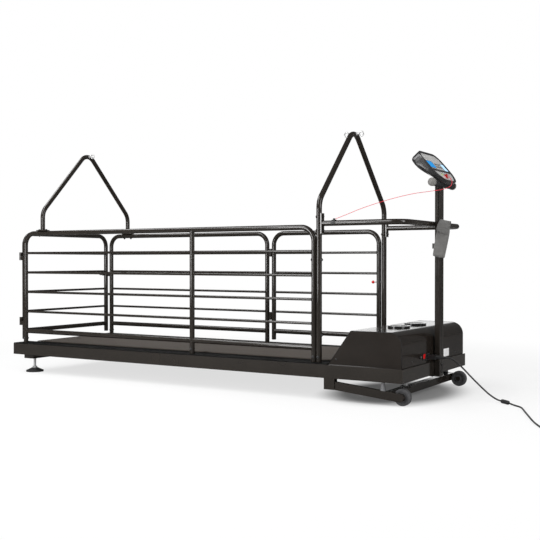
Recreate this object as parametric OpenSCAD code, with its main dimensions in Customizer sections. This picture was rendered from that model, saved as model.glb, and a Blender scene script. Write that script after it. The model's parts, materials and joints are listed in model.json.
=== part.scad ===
// Caged dog treadmill: powered belt in a low steel frame, with barred side panels, a rear gate,
// a side door, two leash hoops, a handrail and a console on a mast.
// Millimetres, +Z up, +X towards the motor end, +Y towards the side door. The floor is z = 0.

/* [Frame] */
// Length of the side rails
rail_len = 2350; // [2000:10:2700]
// Width over the side rails
frame_w = 800; // [760:10:960]
// Width of a side rail's section
rail_w = 60; // [56:1:70]
// Height of a side rail's section
rail_h = 60; // [56:1:70]
// Wall of the rails
rail_wall = 2.5; // [2:0.5:4]
// Height of the rails' undersides above the floor
rail_z = 100; // [96:1:120]
// Thickness of the landing strips on the rails
strip_t = 4; // [3:0.5:6]
// How far the console and pouch reach past the front rail
front_reach = 62; // [40:1:90]

/* [Running belt] */
// Belt's edges in from the rails' outer faces
belt_in = 125; // [115:1:180]
// Thickness of the belt
belt_t = 3; // [2:0.5:4]
// Height of the belt above the landing strips
belt_rise = 5; // [4:0.5:7]
// Radius of the rollers
roller_r = 25; // [22:0.5:26]
// Radius of the roller axles
axle_r = 8.5; // [7:0.5:10]
// Rear roller's axis from the rear end
rear_roller_in = 70; // [60:1:90]
// Front roller's axis from the front face
front_roller_in = 300; // [290:1:320]
// Thickness of the deck board
deck_t = 18; // [15:1:20]
// Thickness of the rubber deck cushions
cushion_t = 8; // [6:0.5:9]

/* [Cage] */
// Radius of the panel tubes
tube_r = 12.5; // [11:0.5:14]
// Wall of the panel tubes
tube_wall = 2; // [1.5:0.25:2.5]
// Radius of the thin bars
bar_r = 6.4; // [5:0.2:8]
// Number of thin bars in a panel
bar_count = 4; // [2:1:6]
// Height of the panels' top tube axis above the floor
panel_top = 777; // [700:1:850]
// Height of the panels' bottom tube axis above the floor
panel_low = 229; // [215:1:260]
// Axis radius of the panels' bent corners
corner_r = 65; // [45:1:90]
// Post axes in from the rails' outer faces
post_in = 42; // [38:1:46]
// First post axis from the rear end
rear_post_in = 52; // [46:1:70]
// Gate's plane from the rear end
gate_in = 22; // [18:1:22]
// Gate's post axes in from the side posts' planes
gate_side_in = 18; // [17:1:24]
// Gate and door tube ends above the landing strips
swing_gap = 20; // [10:1:30]
// Near panel's middle post from the rear end
mid_post_in = 1213; // [1100:1:1300]
// Door hinge axis from the rear end
door_in = 1232; // [1100:1:1300]
// Distance between the two posts beside the door hinge
hinge_gap = 44; // [42:1:50]

/* [Hoops and handrail] */
// Radius of the front hoop's tube
hoop_r = 13; // [12:0.5:18]
// Front hoop's axis from the front face
hoop_in = 424; // [410:1:460]
// Height of the front hoop's top axis above the floor
hoop_top = 1240; // [1150:1:1300]
// Rear hoop's axis from the rear end
rear_hoop_in = 186; // [160:1:260]
// Height of the rear hoop's top axis above the floor
rear_hoop_top = 1235; // [1150:1:1300]
// Start of the hoop posts' bends above the panels' top tube axis
hoop_bend_up = 85; // [70:1:110]
// Axis radius of the hoops' lower bends
hoop_bend_r = 85; // [70:1:110]
// Axis radius of the hoops' tops
hoop_apex_r = 66; // [50:1:80]
// Height of the handrail's axis above the floor
handrail_z = 793; // [780:1:820]
// Axis radius of the handrail's corners
handrail_r = 60; // [45:1:80]

/* [Motor end] */
// Length of the hood's foot along the rails
hood_len = 354; // [340:1:380]
// Height of the hood's top above the floor
hood_top = 316; // [300:1:340]
// Run of the hood's sloping face
hood_slope = 113; // [90:1:125]
// Radius of the hood's front upper edge
hood_round = 57; // [40:1:70]
// Hood's sides in from the rails' outer faces
hood_side_in = 12; // [8:1:20]
// Wall of the hood
hood_wall = 2.5; // [2:0.5:4]
// Radius of the vent rings
vent_r = 52; // [40:1:60]
// Radius of the big pulley on the front roller
pulley_r = 45; // [36:1:48]
// Radius of the motor's pulley
motor_pulley_r = 15; // [13:0.5:18]

/* [Incline] */
// Pivot of the incline arms from the front face
pivot_in = 350; // [340:1:380]
// Height of the pivot above the floor
pivot_z = 70; // [66:1:74]
// Radius of the wheels
wheel_r = 37.5; // [34:0.5:40]
// Width of the wheels
wheel_w = 26; // [24:1:36]
// Wheel axle back from the front face
wheel_in = 16; // [10:1:20]
// Height of an incline arm's section
arm_h = 36; // [30:1:40]
// Width of an incline arm's section
arm_w = 22; // [20:1:28]

/* [Console] */
// Mast's depth along the frame
mast_d = 25; // [20:1:30]
// Mast's width across the frame
mast_w = 50; // [40:1:60]
// Height of the grip tube's axis above the floor
grip_z = 978; // [940:1:1010]
// Length of the grip tube
grip_len = 250; // [220:1:280]
// Width of the console
console_w = 250; // [220:1:290]
// Length of the console's face down its slope
face_len = 190; // [180:1:200]
// Tilt of the console's face from level
face_tilt = 49; // [44:1:54]
// Depth of the console's shell behind its face
pod_t = 52; // [46:1:60]
// Depth of the shell at its lower edge
nose_t = 28; // [24:1:36]

/* [Pouch] */
// Height of the tool pouch
pouch_h = 176; // [150:1:200]
// Width of the tool pouch
pouch_w = 60; // [50:1:70]
// Depth of the tool pouch
pouch_t = 24; // [18:1:30]
// Lean of the pouch from upright
pouch_lean = 12; // [0:0.5:14]

/* [Feet] */
// Radius of a foot's base
foot_r = 48; // [36:1:56]
// Feet from the rear end
foot_in = 92; // [85:1:100]

/* [Hidden] */
$fn = 48;
black = "#1d1d1e";
soft_black = "#2a2a2b";
steel = "#b9bcc0";
grey = "#8b8a87";
red = "#d4161c";
cord_black = "#232324";
blue = "#1f9be6";

// Small clearances: a running shaft, a bolt in its hole, and parts that only stand side by side
run_gap = 0.05;
hole_gap = 0.2;
side_gap = 0.4;
belt_gap = 0.3;
eps = 1;

x_rear = -(rail_len + front_reach) / 2;
x_front = x_rear + rail_len;
y_out = frame_w / 2;
y_in = y_out - rail_w;
rail_top = rail_z + rail_h;
strip_top = rail_top + strip_t;
post_y = y_out - post_in;
x_post = x_rear + rear_post_in;
x_mid = x_rear + mid_post_in;
x_door = x_rear + door_in;
x_hoop = x_front - hoop_in;
x_near_end = x_hoop - hoop_r - tube_r - side_gap;
door_gap = 3.5;
x_door_end = x_hoop - hoop_r - tube_r - door_gap;
x_gate = x_rear + gate_in;
gate_y = post_y - gate_side_in;
swing_z = strip_top + swing_gap;
pitch = (panel_top - panel_low) / (bar_count + 1);
tube_bore = tube_r - tube_wall;
hoop_bend_z = panel_top + hoop_bend_up;
spigot_h = 48;
spigot_bolt_z = strip_top + 24;

belt_half = y_out - belt_in;
roller_half = belt_half + 5;
roller_z = strip_top + belt_rise - belt_t - belt_gap - roller_r;
deck_z = roller_z + roller_r + belt_gap;
deck_half = belt_half + 6;
strip_inner = deck_half + 3;
x_roller_rear = x_rear + rear_roller_in;
x_roller_front = x_front - front_roller_in;
cross_h = 20;
cross_w = 40;
cross_top = deck_z - deck_t - cushion_t;
x_deck_a = x_roller_rear + roller_r + 20;
x_deck_b = x_roller_front - roller_r - 20;
cross_n = 5;
cross_in = 60;
function cross_x(i) = x_deck_a + cross_in + i * (x_deck_b - x_deck_a - 2 * cross_in) / (cross_n - 1);
cushion_y = deck_half - 91;
cushion_r = 17;

front_rail_w = 40;
x_hood_f = x_front - 8;
x_hood_r = x_hood_f - hood_len;
x_hood_t = x_hood_r + hood_slope;
hood_half = y_out - hood_side_in;
vent_y = 100;
vent_h = 9;
vent_rim = 12;
vent_neck = 8;
hood_screw_in = 40;
hood_screw_up = 26;
hood_screw_y = hood_half - 116;
hood_screw_z = 180;
screw_r = 2.4;
screw_head_r = 5;
vent_x = x_hood_f - hood_round - vent_r - 28;
pan_t = 3;
pan_z = rail_z + 4;
pan_in = 70;

pulley_w = 24;
pulley_y = roller_half + 8;
x_motor = x_roller_front + 170;
z_motor = roller_z + 62;
motor_r = 48;
motor_len = 190;
motor_shaft_r = 7;
motor_foot = 60;
motor_foot_t = 16;
motor_foot_out = 60;
drive_belt_t = 3;

x_pivot = x_front - pivot_in;
x_wheel = x_front - wheel_in;
arm_in = 5;
arm_y = y_out - arm_in - arm_w / 2;
wheel_gap = 3;
wheel_y = arm_y - arm_w / 2 - wheel_gap - wheel_w / 2;
wheel_axle_r = 6;
bracket_t = 4;
pivot_r = 6;
x_lift_bar = x_front - 74;
lift_bar = 34;
arm_run = x_wheel - x_pivot;
function arm_z(x) = pivot_z + (wheel_r - pivot_z) * (x - x_pivot) / arm_run;
x_bumper = x_front - 96;
bumper_r = [13, 7];
lift_y = -190;
lift_rod_r = 9;
push_t = 4;

x_mast = x_front;
mast_foot_z = rail_z - 9;
mast_bolt_z = [rail_z + 12, rail_z + 46];
grip_r = 17;
grip_cap_r = 19;
x_grip = x_mast + mast_d / 2 + 15;

foot_y = y_out - 70;
foot_stem_r = 7;
foot_nut_r = 13;
foot_base_h = 8;
foot_cone_h = 14;
channel_w = 70;
channel_h = 22;
channel_in = 20;
channel_top_t = 4;
x_channel = x_rear + 62;

switch_z = 193;
switch_y = -135;
rocker_w = 24;
rocker_h = 21.2;
breaker_y = -178;
breaker_r = 4;
inlet_y = -92;
inlet_z = 188;

gate_axis = [x_gate - 6, -post_y - 4];
gate_hinge_z = [panel_low + 32, panel_top - 150];
knuckle_r = 8;
knuckle_h = 22;
hinge_pin_r = 4;
door_axis = [x_door, post_y];
door_hinge_z = [panel_low + 62, panel_top - 130];
latch_bay_z = panel_low + (floor(bar_count / 2) + 0.5) * pitch;
latch_z = latch_bay_z + 9;
bolt_latch_z = latch_bay_z + 37;
latch_r = 4;
ball_n = 12;

cord_r = 3.6;
lanyard_r = 1.25;

// Round bar between two points
module bar(p, q, r) {
    d = q - p;
    translate(p) rotate([0, acos(d.z / norm(d)), atan2(d.y, d.x)]) cylinder(h = norm(d), r = r);
}

// Round bar along Y, from y to y + h
module y_bar(x, y, z, h, r) translate([x, y, z]) rotate([-90, 0, 0]) cylinder(h = h, r = r);

// Round bar along X, from x to x + h
module x_bar(x, y, z, h, r) translate([x, y, z]) rotate([0, 90, 0]) cylinder(h = h, r = r);

// Block centred on Y from its low X and Z
module block(x, z, dx, w, dz, y = 0) translate([x, y - w / 2, z]) cube([dx, w, dz]);

// Bent corner in the X-Z plane, from angle a through 90 degrees
module xz_bend(x, y, z, a, radius, r) translate([x, y, z]) rotate([90, 0, 0]) rotate([0, 0, a])
    rotate_extrude(angle = 90) translate([radius, 0]) circle(r);

// Bolts: seat of the head, direction of the shank, and grip between head and cap nut
bolt_r = 3;
bolt_head_r = 6.5;
bolt_sink = 1;
bolt_head_h = 2.5;
bolt_dome_h = 3;
cap_nut_h = 4;
cap_nut_dome_r = 5;
cut_gap = 0.3;
module turned(b) {
    d = b[1];
    translate(b[0]) rotate([0, acos(d.z), atan2(d.y, d.x)]) children();
}
module dome(r, h) intersection() {
    sr = (r * r + h * h) / (2 * h);
    translate([0, 0, h - sr]) sphere(sr);
    cylinder(h = h, r = r);
}
module bolt(b) turned(b) {
    mirror([0, 0, 1]) {
        cylinder(h = bolt_head_h, r = bolt_head_r);
        translate([0, 0, bolt_head_h]) dome(bolt_head_r - 0.5, bolt_dome_h);
    }
    cylinder(h = b[2] + eps, r = bolt_r);
    translate([0, 0, b[2]]) {
        cylinder(h = cap_nut_h, r = bolt_head_r, $fn = 6);
        translate([0, 0, cap_nut_h]) dome(cap_nut_dome_r, cap_nut_h);
    }
}
module bolt_cuts(list) for (b = list) turned(b) {
    translate([0, 0, -10]) cylinder(h = 10, r = bolt_head_r + cut_gap);
    translate([0, 0, -eps]) cylinder(h = b[2] + 2 * eps, r = bolt_r + hole_gap);
    translate([0, 0, b[2]]) cylinder(h = 12, r = bolt_head_r + cut_gap);
}

function across(x, y, z, r) = [[x, y - r + bolt_sink, z], [0, 1, 0], 2 * (r - bolt_sink)];
panel_hoop_grip = 2 * (tube_r + hoop_r - bolt_sink) + side_gap;
panel_hoop_bolts = [for (z = [panel_low + 58, panel_top - 148])
    [[x_near_end - tube_r + bolt_sink, -post_y, z], [1, 0, 0], panel_hoop_grip]];
function foot_bolt(x, y) = across(x, y, spigot_bolt_z, tube_r);
post_foot_bolts = concat([for (x = [x_post, x_mid, x_near_end]) foot_bolt(x, -post_y)],
    [for (x = [x_post, x_door - hinge_gap / 2]) foot_bolt(x, post_y)]);
hoop_foot_bolts = [for (s = [-1, 1]) across(x_hoop, s * post_y, spigot_bolt_z, hoop_r)];
rail_plate_t = 6;
rail_plate_h = 92;
rail_plate_w = 28;
rail_bolt_dz = 31;
handrail_bolts = [for (s = [-1, 1], k = [-1, 1])
    [[x_hoop - hoop_r + bolt_sink, s * post_y, handrail_z + k * rail_bolt_dz], [1, 0, 0],
     2 * hoop_r - bolt_sink + rail_plate_t]];
flange_t = 5;
flange_l = 74;
flange_w = 30;
flange_bolt_dx = 26;
x_rear_hoop = x_rear + rear_hoop_in;
flange_z = panel_top + tube_r;
flange_bolts = [for (s = [-1, 1], k = [-1, 1])
    [[x_rear_hoop + k * flange_bolt_dx, s * post_y, flange_z + flange_t], [0, 0, -1],
     flange_t + 2 * tube_r - bolt_sink]];
mast_bolts = [for (z = mast_bolt_z) [[x_mast + mast_d, 0, z], [-1, 0, 0], mast_d + rail_wall]];
mast_rail_bolt = [[[x_mast + mast_d, 0, handrail_z], [-1, 0, 0], mast_d + 2 * tube_r - bolt_sink]];

// Welded base: rails, front rail, rear channel, deck cross tubes, post spigots and incline brackets
ear_back = 28;
ear_l = 52;
ear_drop = 20;
module spigot(x, y, r) translate([x, y, rail_top - rail_wall])
    cylinder(h = strip_t + rail_wall + spigot_h, r = r - side_gap);
module side_rail(y) difference() {
    translate([x_rear, y, rail_z]) cube([rail_len - front_rail_w, rail_w, rail_h]);
    translate([x_rear - eps, y + rail_wall, rail_z + rail_wall])
        cube([rail_len - front_rail_w + eps, rail_w - 2 * rail_wall, rail_h - 2 * rail_wall]);
}
module front_rail() difference() {
    block(x_front - front_rail_w, rail_z, front_rail_w, frame_w, rail_h);
    block(x_front - front_rail_w + rail_wall, rail_z + rail_wall,
        front_rail_w - 2 * rail_wall, frame_w - 2 * rail_wall, rail_h - 2 * rail_wall);
}
module rear_channel() difference() {
    channel_len = 2 * (y_out - channel_in);
    block(x_channel, rail_z - channel_h, channel_w, channel_len, channel_h);
    block(x_channel + rail_wall, rail_z - channel_h - eps, channel_w - 2 * rail_wall,
        channel_len - 2 * rail_wall, channel_h - channel_top_t + eps);
}
module cross_tube(x) difference() {
    block(x - cross_w / 2, cross_top - cross_h, cross_w, 2 * y_in, cross_h);
    block(x - cross_w / 2 + rail_wall, cross_top - cross_h - eps,
        cross_w - 2 * rail_wall, 2 * y_in - 2 * rail_wall, cross_h - rail_wall + eps);
}
// Two ears and the pin that an incline arm turns on
module pivot_ears(s) {
    for (y = [arm_y + arm_w / 2 + side_gap, arm_y - arm_w / 2 - side_gap - bracket_t])
        translate([x_pivot - ear_back, s > 0 ? y : -y - bracket_t, pivot_z - ear_drop])
            cube([ear_l, bracket_t, rail_z - pivot_z + ear_drop + eps]);
    y_bar(x_pivot, s * arm_y - arm_w / 2 - bracket_t, pivot_z, arm_w + 2 * bracket_t, pivot_r);
}
module base_frame() color(black) difference() {
    union() {
        for (s = [-1, 1]) {
            side_rail(s > 0 ? y_in : -y_out);
            for (x = [x_post, s < 0 ? x_mid : x_door - hinge_gap / 2]) spigot(x, s * post_y, tube_bore);
            spigot(x_hoop, s * post_y, hoop_r - tube_wall);
            pivot_ears(s);
        }
        spigot(x_near_end, -post_y, tube_bore);
        front_rail();
        rear_channel();
        for (i = [0:cross_n - 1]) cross_tube(cross_x(i));
    }
    for (s = [-1, 1]) translate([x_rear + foot_in, s * foot_y, rail_z - channel_h - eps])
        cylinder(h = channel_h + 2 * eps, r = foot_stem_r + run_gap);
    for (x = [x_roller_rear, x_roller_front], y = [y_in - eps, -y_in - rail_wall - eps])
        y_bar(x, y, roller_z, rail_wall + 2 * eps, axle_r + hole_gap);
    bolt_cuts(post_foot_bolts);
    bolt_cuts(hoop_foot_bolts);
    for (b = mast_bolts) turned(b) cylinder(h = b[2] + 3, r = bolt_r + hole_gap);
}

// Plastic plugs in the rails' rear ends
cap_t = 3;
cap_neck = 22;
module rail_end_caps() color(soft_black) for (s = [-1, 1]) {
    y = s * (y_out - rail_w / 2);
    fit = 2 * (rail_wall + hole_gap);
    block(x_rear - cap_t, rail_z, cap_t, rail_w, rail_h, y);
    block(x_rear - eps, rail_z + fit / 2, cap_neck, rail_w - fit, rail_h - fit, y);
}

// Landing strips on the rails, either side of the belt, each with a skirt and three grip ribs
strip_end_gap = 2;
skirt_t = 3;
skirt_h = 8;
rib_w = 3;
rib_h = 0.8;
rib_in = 9;
rib_pitch = 7;
module landing_strips() color(black) for (s = [-1, 1]) difference() {
    run = x_hood_r - strip_end_gap - x_rear;
    union() {
        translate([x_rear, s > 0 ? strip_inner : -y_out, rail_top]) cube([run, y_out - strip_inner, strip_t]);
        translate([x_rear, s > 0 ? strip_inner : -strip_inner - skirt_t, rail_top - skirt_h])
            cube([run, skirt_t, skirt_h + eps]);
        for (k = [0:2]) block(x_rear, strip_top - eps, run, rib_w, eps + rib_h,
            s * (strip_inner + rib_in + rib_pitch * k));
    }
    for (x = s < 0 ? [x_post, x_mid, x_near_end] : [x_post, x_door - hinge_gap / 2])
        translate([x, s * post_y, rail_top - eps]) cylinder(h = strip_t + 2 * eps, r = tube_bore);
    translate([x_hoop, s * post_y, rail_top - eps]) cylinder(h = strip_t + 2 * eps, r = hoop_r - tube_wall);
}

module deck_board() color("#8a6b4a")
    block(x_deck_a, deck_z - deck_t, x_deck_b - x_deck_a, 2 * deck_half, deck_t);

// Rubber pads between the cross tubes and the deck
module deck_cushions() color(soft_black) for (i = [0:cross_n - 1], s = [-1, 1])
    translate([cross_x(i), s * cushion_y, cross_top]) cylinder(h = cushion_t, r = cushion_r);

// Outline of the belt loop, grown by g
module belt_outline(g) {
    for (x = [x_roller_rear, x_roller_front]) translate([x, roller_z]) circle(roller_r + belt_gap + g);
    translate([x_roller_rear, roller_z - roller_r - belt_gap - g])
        square([x_roller_front - x_roller_rear, 2 * (roller_r + belt_gap + g)]);
}
module running_belt() color("#4a4846") translate([0, belt_half, 0]) rotate([90, 0, 0])
    linear_extrude(2 * belt_half) difference() {
        belt_outline(belt_t);
        belt_outline(0);
    }

// Fixed axles of the two rollers
module roller_axles() color(steel) for (x = [x_roller_rear, x_roller_front])
    y_bar(x, -y_in - rail_wall, roller_z, 2 * (y_in + rail_wall), axle_r);

// Roller tube with a bearing seat in each end
seat_l = 24;
roller_wall = 4;
module y_turn(x, z = roller_z) translate([x, 0, z]) rotate([-90, 0, 0]) children();
module roller_body(x) y_turn(x) difference() {
    translate([0, 0, -roller_half]) cylinder(h = 2 * roller_half, r = roller_r);
    translate([0, 0, -roller_half - eps]) cylinder(h = 2 * (roller_half + eps), r = axle_r + run_gap);
    translate([0, 0, -roller_half + seat_l])
        cylinder(h = 2 * (roller_half - seat_l), r = roller_r - roller_wall);
}
// Flanged pulley wheel from y
pulley_lip = 3;
pulley_lip_t = 2;
pulley_hub_r = 18;
module pulley(r, y) translate([0, 0, y]) {
    cylinder(h = pulley_w, r = r);
    for (k = [0, pulley_w - pulley_lip_t])
        translate([0, 0, k]) cylinder(h = pulley_lip_t, r = r + pulley_lip);
}
module front_roller() color(steel) {
    roller_body(x_roller_front);
    y_turn(x_roller_front) difference() {
        union() {
            translate([0, 0, roller_half]) cylinder(h = pulley_y - roller_half, r = pulley_hub_r);
            pulley(pulley_r, pulley_y);
        }
        translate([0, 0, roller_half - eps])
            cylinder(h = pulley_y - roller_half + pulley_w + 3 * eps, r = axle_r + run_gap);
    }
}
module rear_roller() color(steel) roller_body(x_roller_rear);

// Steel tray that carries the motor, between the rails
motor_y = pulley_y - pulley_w - motor_len;
x_pan = x_roller_front + pan_in;
module motor_pan() color(black) difference() {
    union() {
        block(x_pan, pan_z, x_front - front_rail_w - x_pan, 2 * y_in, pan_t);
        for (s = [-1, 1]) block(x_motor - motor_foot / 2, pan_z + pan_t, motor_foot, motor_foot_t,
            z_motor - motor_r - pan_z - pan_t + 6, motor_y + motor_len / 2 + s * motor_foot_out);
    }
    y_bar(x_motor, 0, z_motor, y_in, motor_r);
    translate([x_lift_bar, lift_y, pan_z - eps]) cylinder(h = pan_t + 2 * eps, r = lift_rod_r + 3);
}
// Motor can with an end bell and cooling grooves
bell_r = 24;
bell_h = 8;
shaft_in = 58;
groove_w = 3;
groove_deep = 2;
module motor_groove(y) translate([0, 0, y]) difference() {
    cylinder(h = groove_w, r = motor_r + eps);
    cylinder(h = groove_w, r = motor_r - groove_deep);
}
module drive_motor() color(soft_black) y_turn(x_motor, z_motor) translate([0, 0, motor_y]) difference() {
    union() {
        cylinder(h = motor_len, r = motor_r);
        translate([0, 0, motor_len]) cylinder(h = bell_h, r = bell_r);
    }
    translate([0, 0, motor_len - shaft_in - 2]) cylinder(h = shaft_in + 22, r = motor_shaft_r + run_gap);
    for (k = [0:6]) motor_groove(12 + 8 * k);
}
module motor_rotor() color(steel) y_turn(x_motor, z_motor) {
    shaft_y = motor_y + motor_len - shaft_in;
    translate([0, 0, shaft_y]) cylinder(h = pulley_y + pulley_w + 4 - shaft_y, r = motor_shaft_r);
    pulley(motor_pulley_r, pulley_y);
}

// Belt round the two pulleys: a ring sector on each, and the two straight runs between them
drive_d = [x_motor - x_roller_front, z_motor - roller_z];
drive_wrap = acos((pulley_r - motor_pulley_r) / norm(drive_d));
drive_a = atan2(drive_d.y, drive_d.x);
module drive_sector(r, x, z, a, sweep) translate([x, z, 0]) rotate([0, 0, a])
    rotate_extrude(angle = sweep) translate([r + belt_gap, 0]) square([drive_belt_t, pulley_w - 6]);
module drive_belt() color(soft_black) translate([0, pulley_y + pulley_w - 3, 0]) rotate([90, 0, 0]) {
    drive_sector(pulley_r, x_roller_front, roller_z, drive_a + drive_wrap, 360 - 2 * drive_wrap);
    drive_sector(motor_pulley_r, x_motor, z_motor, drive_a - drive_wrap, 2 * drive_wrap);
    for (s = [-1, 1]) translate([x_roller_front, roller_z, 0.02]) rotate([0, 0, drive_a + s * drive_wrap])
        translate([pulley_r + belt_gap + 0.02, s > 0 ? -0.4 - norm(drive_d) * sin(drive_wrap) : -0.4, 0])
            cube([drive_belt_t - 0.04, norm(drive_d) * sin(drive_wrap) + 0.8, pulley_w - 6.04]);
}

// Speed controller with a finned heat sink
module motor_controller() color("#5b6e5f") {
    block(x_motor - 74, pan_z + pan_t, 100, 180, 6, -110);
    block(x_motor - 69, pan_z + pan_t + 6, 90, 160, 24, -110);
    for (k = [0:9]) block(x_motor - 69, pan_z + pan_t + 30, 90, 4, 22, -182 + 16 * k);
}

// Screw jack of the incline: motor on the tray, push rod down to the cross tube
module lift_motor() color(soft_black) translate([x_lift_bar, lift_y, pan_z + pan_t]) difference() {
    union() {
        translate([-22, -22, 0]) cube([44, 44, 46]);
        translate([0, 0, 46]) cylinder(h = 66, r = 15);
        translate([0, 22, 24]) rotate([-90, 0, 0]) cylinder(h = 40, r = 20);
    }
    translate([0, 0, -eps]) cylinder(h = 108, r = lift_rod_r + run_gap);
}
lift_pad_z = arm_z(x_lift_bar) + lift_bar / 2 + push_t + side_gap;
module lift_rod() color(steel) translate([x_lift_bar, lift_y, 0]) {
    translate([0, 0, lift_pad_z]) cylinder(h = 5, r = lift_rod_r + 2);
    translate([0, 0, lift_pad_z + 5]) cylinder(h = pan_z + pan_t + 104 - lift_pad_z - 5, r = lift_rod_r);
}

// Side outline of the hood, in by t
module hood_outline(t) {
    k = atan2(hood_top - rail_top, hood_slope);
    low = rail_top - (t > 0 ? eps : 0);
    difference() {
        polygon([[x_hood_r + t / sin(k) - (rail_top - low) / tan(k), low],
                 [x_hood_t + t * tan(k / 2), hood_top - t],
                 [x_hood_f - t, hood_top - t], [x_hood_f - t, low]]);
        translate([x_hood_f - hood_round, hood_top - hood_round]) difference() {
            square(hood_round + eps);
            circle(hood_round - t);
        }
    }
}
module hood_extrude(t, half) translate([0, half, 0]) rotate([90, 0, 0])
    linear_extrude(2 * half) hood_outline(t);
// Places of the hood's screws, on its front and its sides, with the way each head faces
hood_front_screws = [for (s = [-1, 1]) [x_hood_f, s * hood_screw_y, hood_screw_z]];
hood_side_screws = [for (s = [-1, 1]) [x_hood_r + hood_screw_in, s * hood_half, rail_top + hood_screw_up]];
belt_mouth_z = strip_top + belt_rise + 4;
module motor_hood() color(black) difference() {
    hood_extrude(0, hood_half);
    hood_extrude(hood_wall, hood_half - hood_wall);
    block(x_hood_r - 10, rail_top - eps, 60, 2 * (y_in + side_gap), belt_mouth_z - rail_top + eps);
    for (s = [-1, 1]) translate([vent_x, s * vent_y, hood_top - 10]) cylinder(h = 20, r = vent_r - vent_neck);
    block(x_hood_f - 10, switch_z - 14, 20, rocker_w + 5.2, 28, switch_y);
    x_bar(x_hood_f - 10, breaker_y, switch_z, 20, breaker_r + 2);
    block(x_hood_f - 10, inlet_z - 12, 20, 30, 24, inlet_y);
    for (p = hood_front_screws) x_bar(p.x - 10, p.y, p.z, 20, screw_r + hole_gap);
    for (p = hood_side_screws) y_bar(p.x, p.y - 10, p.z, 20, screw_r + hole_gap);
}
// Round grilles that stand on the hood's top
module ring(r, wall, z, h) translate([0, 0, z]) difference() {
    cylinder(h = h, r = r);
    translate([0, 0, -eps]) cylinder(h = h + 2 * eps, r = r - wall);
}
module hood_vents() color(soft_black) for (s = [-1, 1]) translate([vent_x, s * vent_y, hood_top]) {
    ring(vent_r, vent_rim, 0, vent_h);
    ring(vent_r - vent_neck - cut_gap, vent_rim - vent_neck - cut_gap, -6, 6 + eps);
    for (r = [14, 24, 34]) ring(r, 3, vent_h - 5, 4);
    for (a = [0:45:135]) rotate([0, 0, a])
        translate([vent_rim - 1 - vent_r, -1.5, vent_h - 5]) cube([2 * (vent_r - vent_rim + 1), 3, 4]);
}
module screw() {
    translate([0, 0, -8]) cylinder(h = 8, r = screw_r);
    dome(screw_head_r, 2.6);
}
module hood_screws() {
    for (p = hood_front_screws) translate(p) rotate([0, 90, 0]) screw();
    for (p = hood_side_screws) translate(p) rotate([-90 * sign(p.y), 0, 0]) screw();
}
// Frame of the rocker and threaded collar of the breaker
module switch_bezel() color(soft_black) {
    difference() {
        union() {
            block(x_hood_f, switch_z - 17, 2, rocker_w + 10, 34, switch_y);
            block(x_hood_f - 18, switch_z - 13.7, 18.5, rocker_w + 4.6, 27.4, switch_y);
        }
        block(x_hood_f - 14, switch_z - 11.5, 20, rocker_w + 0.6, 23, switch_y);
        y_bar(x_hood_f - 2, switch_y - rocker_w / 2 - 1.6, switch_z, rocker_w + 3.2, 1.6);
    }
    difference() {
        union() {
            x_bar(x_hood_f, breaker_y, switch_z, 3, 9);
            x_bar(x_hood_f - 20, breaker_y, switch_z, 20.5, breaker_r + 1.7);
        }
        x_bar(x_hood_f - 16, breaker_y, switch_z, 30, breaker_r + run_gap);
    }
}
// Red rocker on two pivot pins
module power_switch() color(red) intersection() {
    union() {
        y_bar(x_hood_f - 2, switch_y - rocker_w / 2 - 1.2, switch_z, rocker_w + 2.4, 1.5);
        translate([x_hood_f - 2, switch_y - rocker_w / 2, switch_z]) rotate([0, 6, 0])
            translate([-3, 0, -rocker_h / 2]) cube([6.6, rocker_w, rocker_h]);
    }
    block(x_hood_f - 12, switch_z - 11.2, 30, rocker_w + 2.4, 22.4, switch_y);
}
module breaker_button() color(grey) x_bar(x_hood_f - 10, breaker_y, switch_z, 16, breaker_r);
// Mains inlet: flange, body and recess
module power_inlet() color(soft_black) difference() {
    union() {
        block(x_hood_f, inlet_z - 16, 2.5, 40, 32, inlet_y);
        block(x_hood_f - 26, inlet_z - 11.7, 26.5, 29.4, 23.4, inlet_y);
    }
    block(x_hood_f - 20, inlet_z - 9, 30, 25, 18, inlet_y);
}

// Incline frame: two arms, cross tube and wheel axles
hub_r = wheel_axle_r + 4;
lift_bar_wall = 3;
module arm_outline() {
    polygon([[x_pivot, pivot_z + arm_h / 2], [x_wheel, wheel_r + arm_h / 2],
             [x_wheel, wheel_r - arm_h / 2], [x_pivot, pivot_z - arm_h / 2]]);
    translate([x_pivot, pivot_z]) circle(arm_h / 2);
    translate([x_wheel, wheel_r]) circle(arm_h / 2);
}
// Arm on one side, with the axle of its wheel and the washer that keeps the wheel on
module incline_arm(s) {
    inner = wheel_y - wheel_w / 2;
    translate([0, s * arm_y + arm_w / 2, 0]) rotate([90, 0, 0]) linear_extrude(arm_w) arm_outline();
    y_bar(x_wheel, s > 0 ? inner - 2 : -arm_y, wheel_r, arm_y - inner + 2, wheel_axle_r);
    y_bar(x_wheel, s > 0 ? inner - 6 : -inner + 1, wheel_r, 5, hub_r);
}
module incline_frame() color(black) difference() {
    bar_z = arm_z(x_lift_bar) - lift_bar / 2;
    union() {
        for (s = [-1, 1]) incline_arm(s);
        block(x_lift_bar - lift_bar / 2, bar_z, lift_bar, 2 * arm_y, lift_bar);
        block(x_lift_bar - lift_bar / 2, bar_z + lift_bar - eps, lift_bar + 16, 40, push_t + eps, lift_y);
    }
    for (s = [-1, 1])
        y_bar(x_pivot, s * arm_y - arm_w / 2 - eps, pivot_z, arm_w + 2 * eps, pivot_r + run_gap);
    block(x_lift_bar - lift_bar / 2 + lift_bar_wall, bar_z + lift_bar_wall, lift_bar - 2 * lift_bar_wall,
        2 * arm_y - arm_w, lift_bar - 2 * lift_bar_wall);
    for (s = [-1, 1]) translate([x_lift_bar, s * 120, 0]) cylinder(h = bar_z + lift_bar / 2, r = 4);
}
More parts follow.
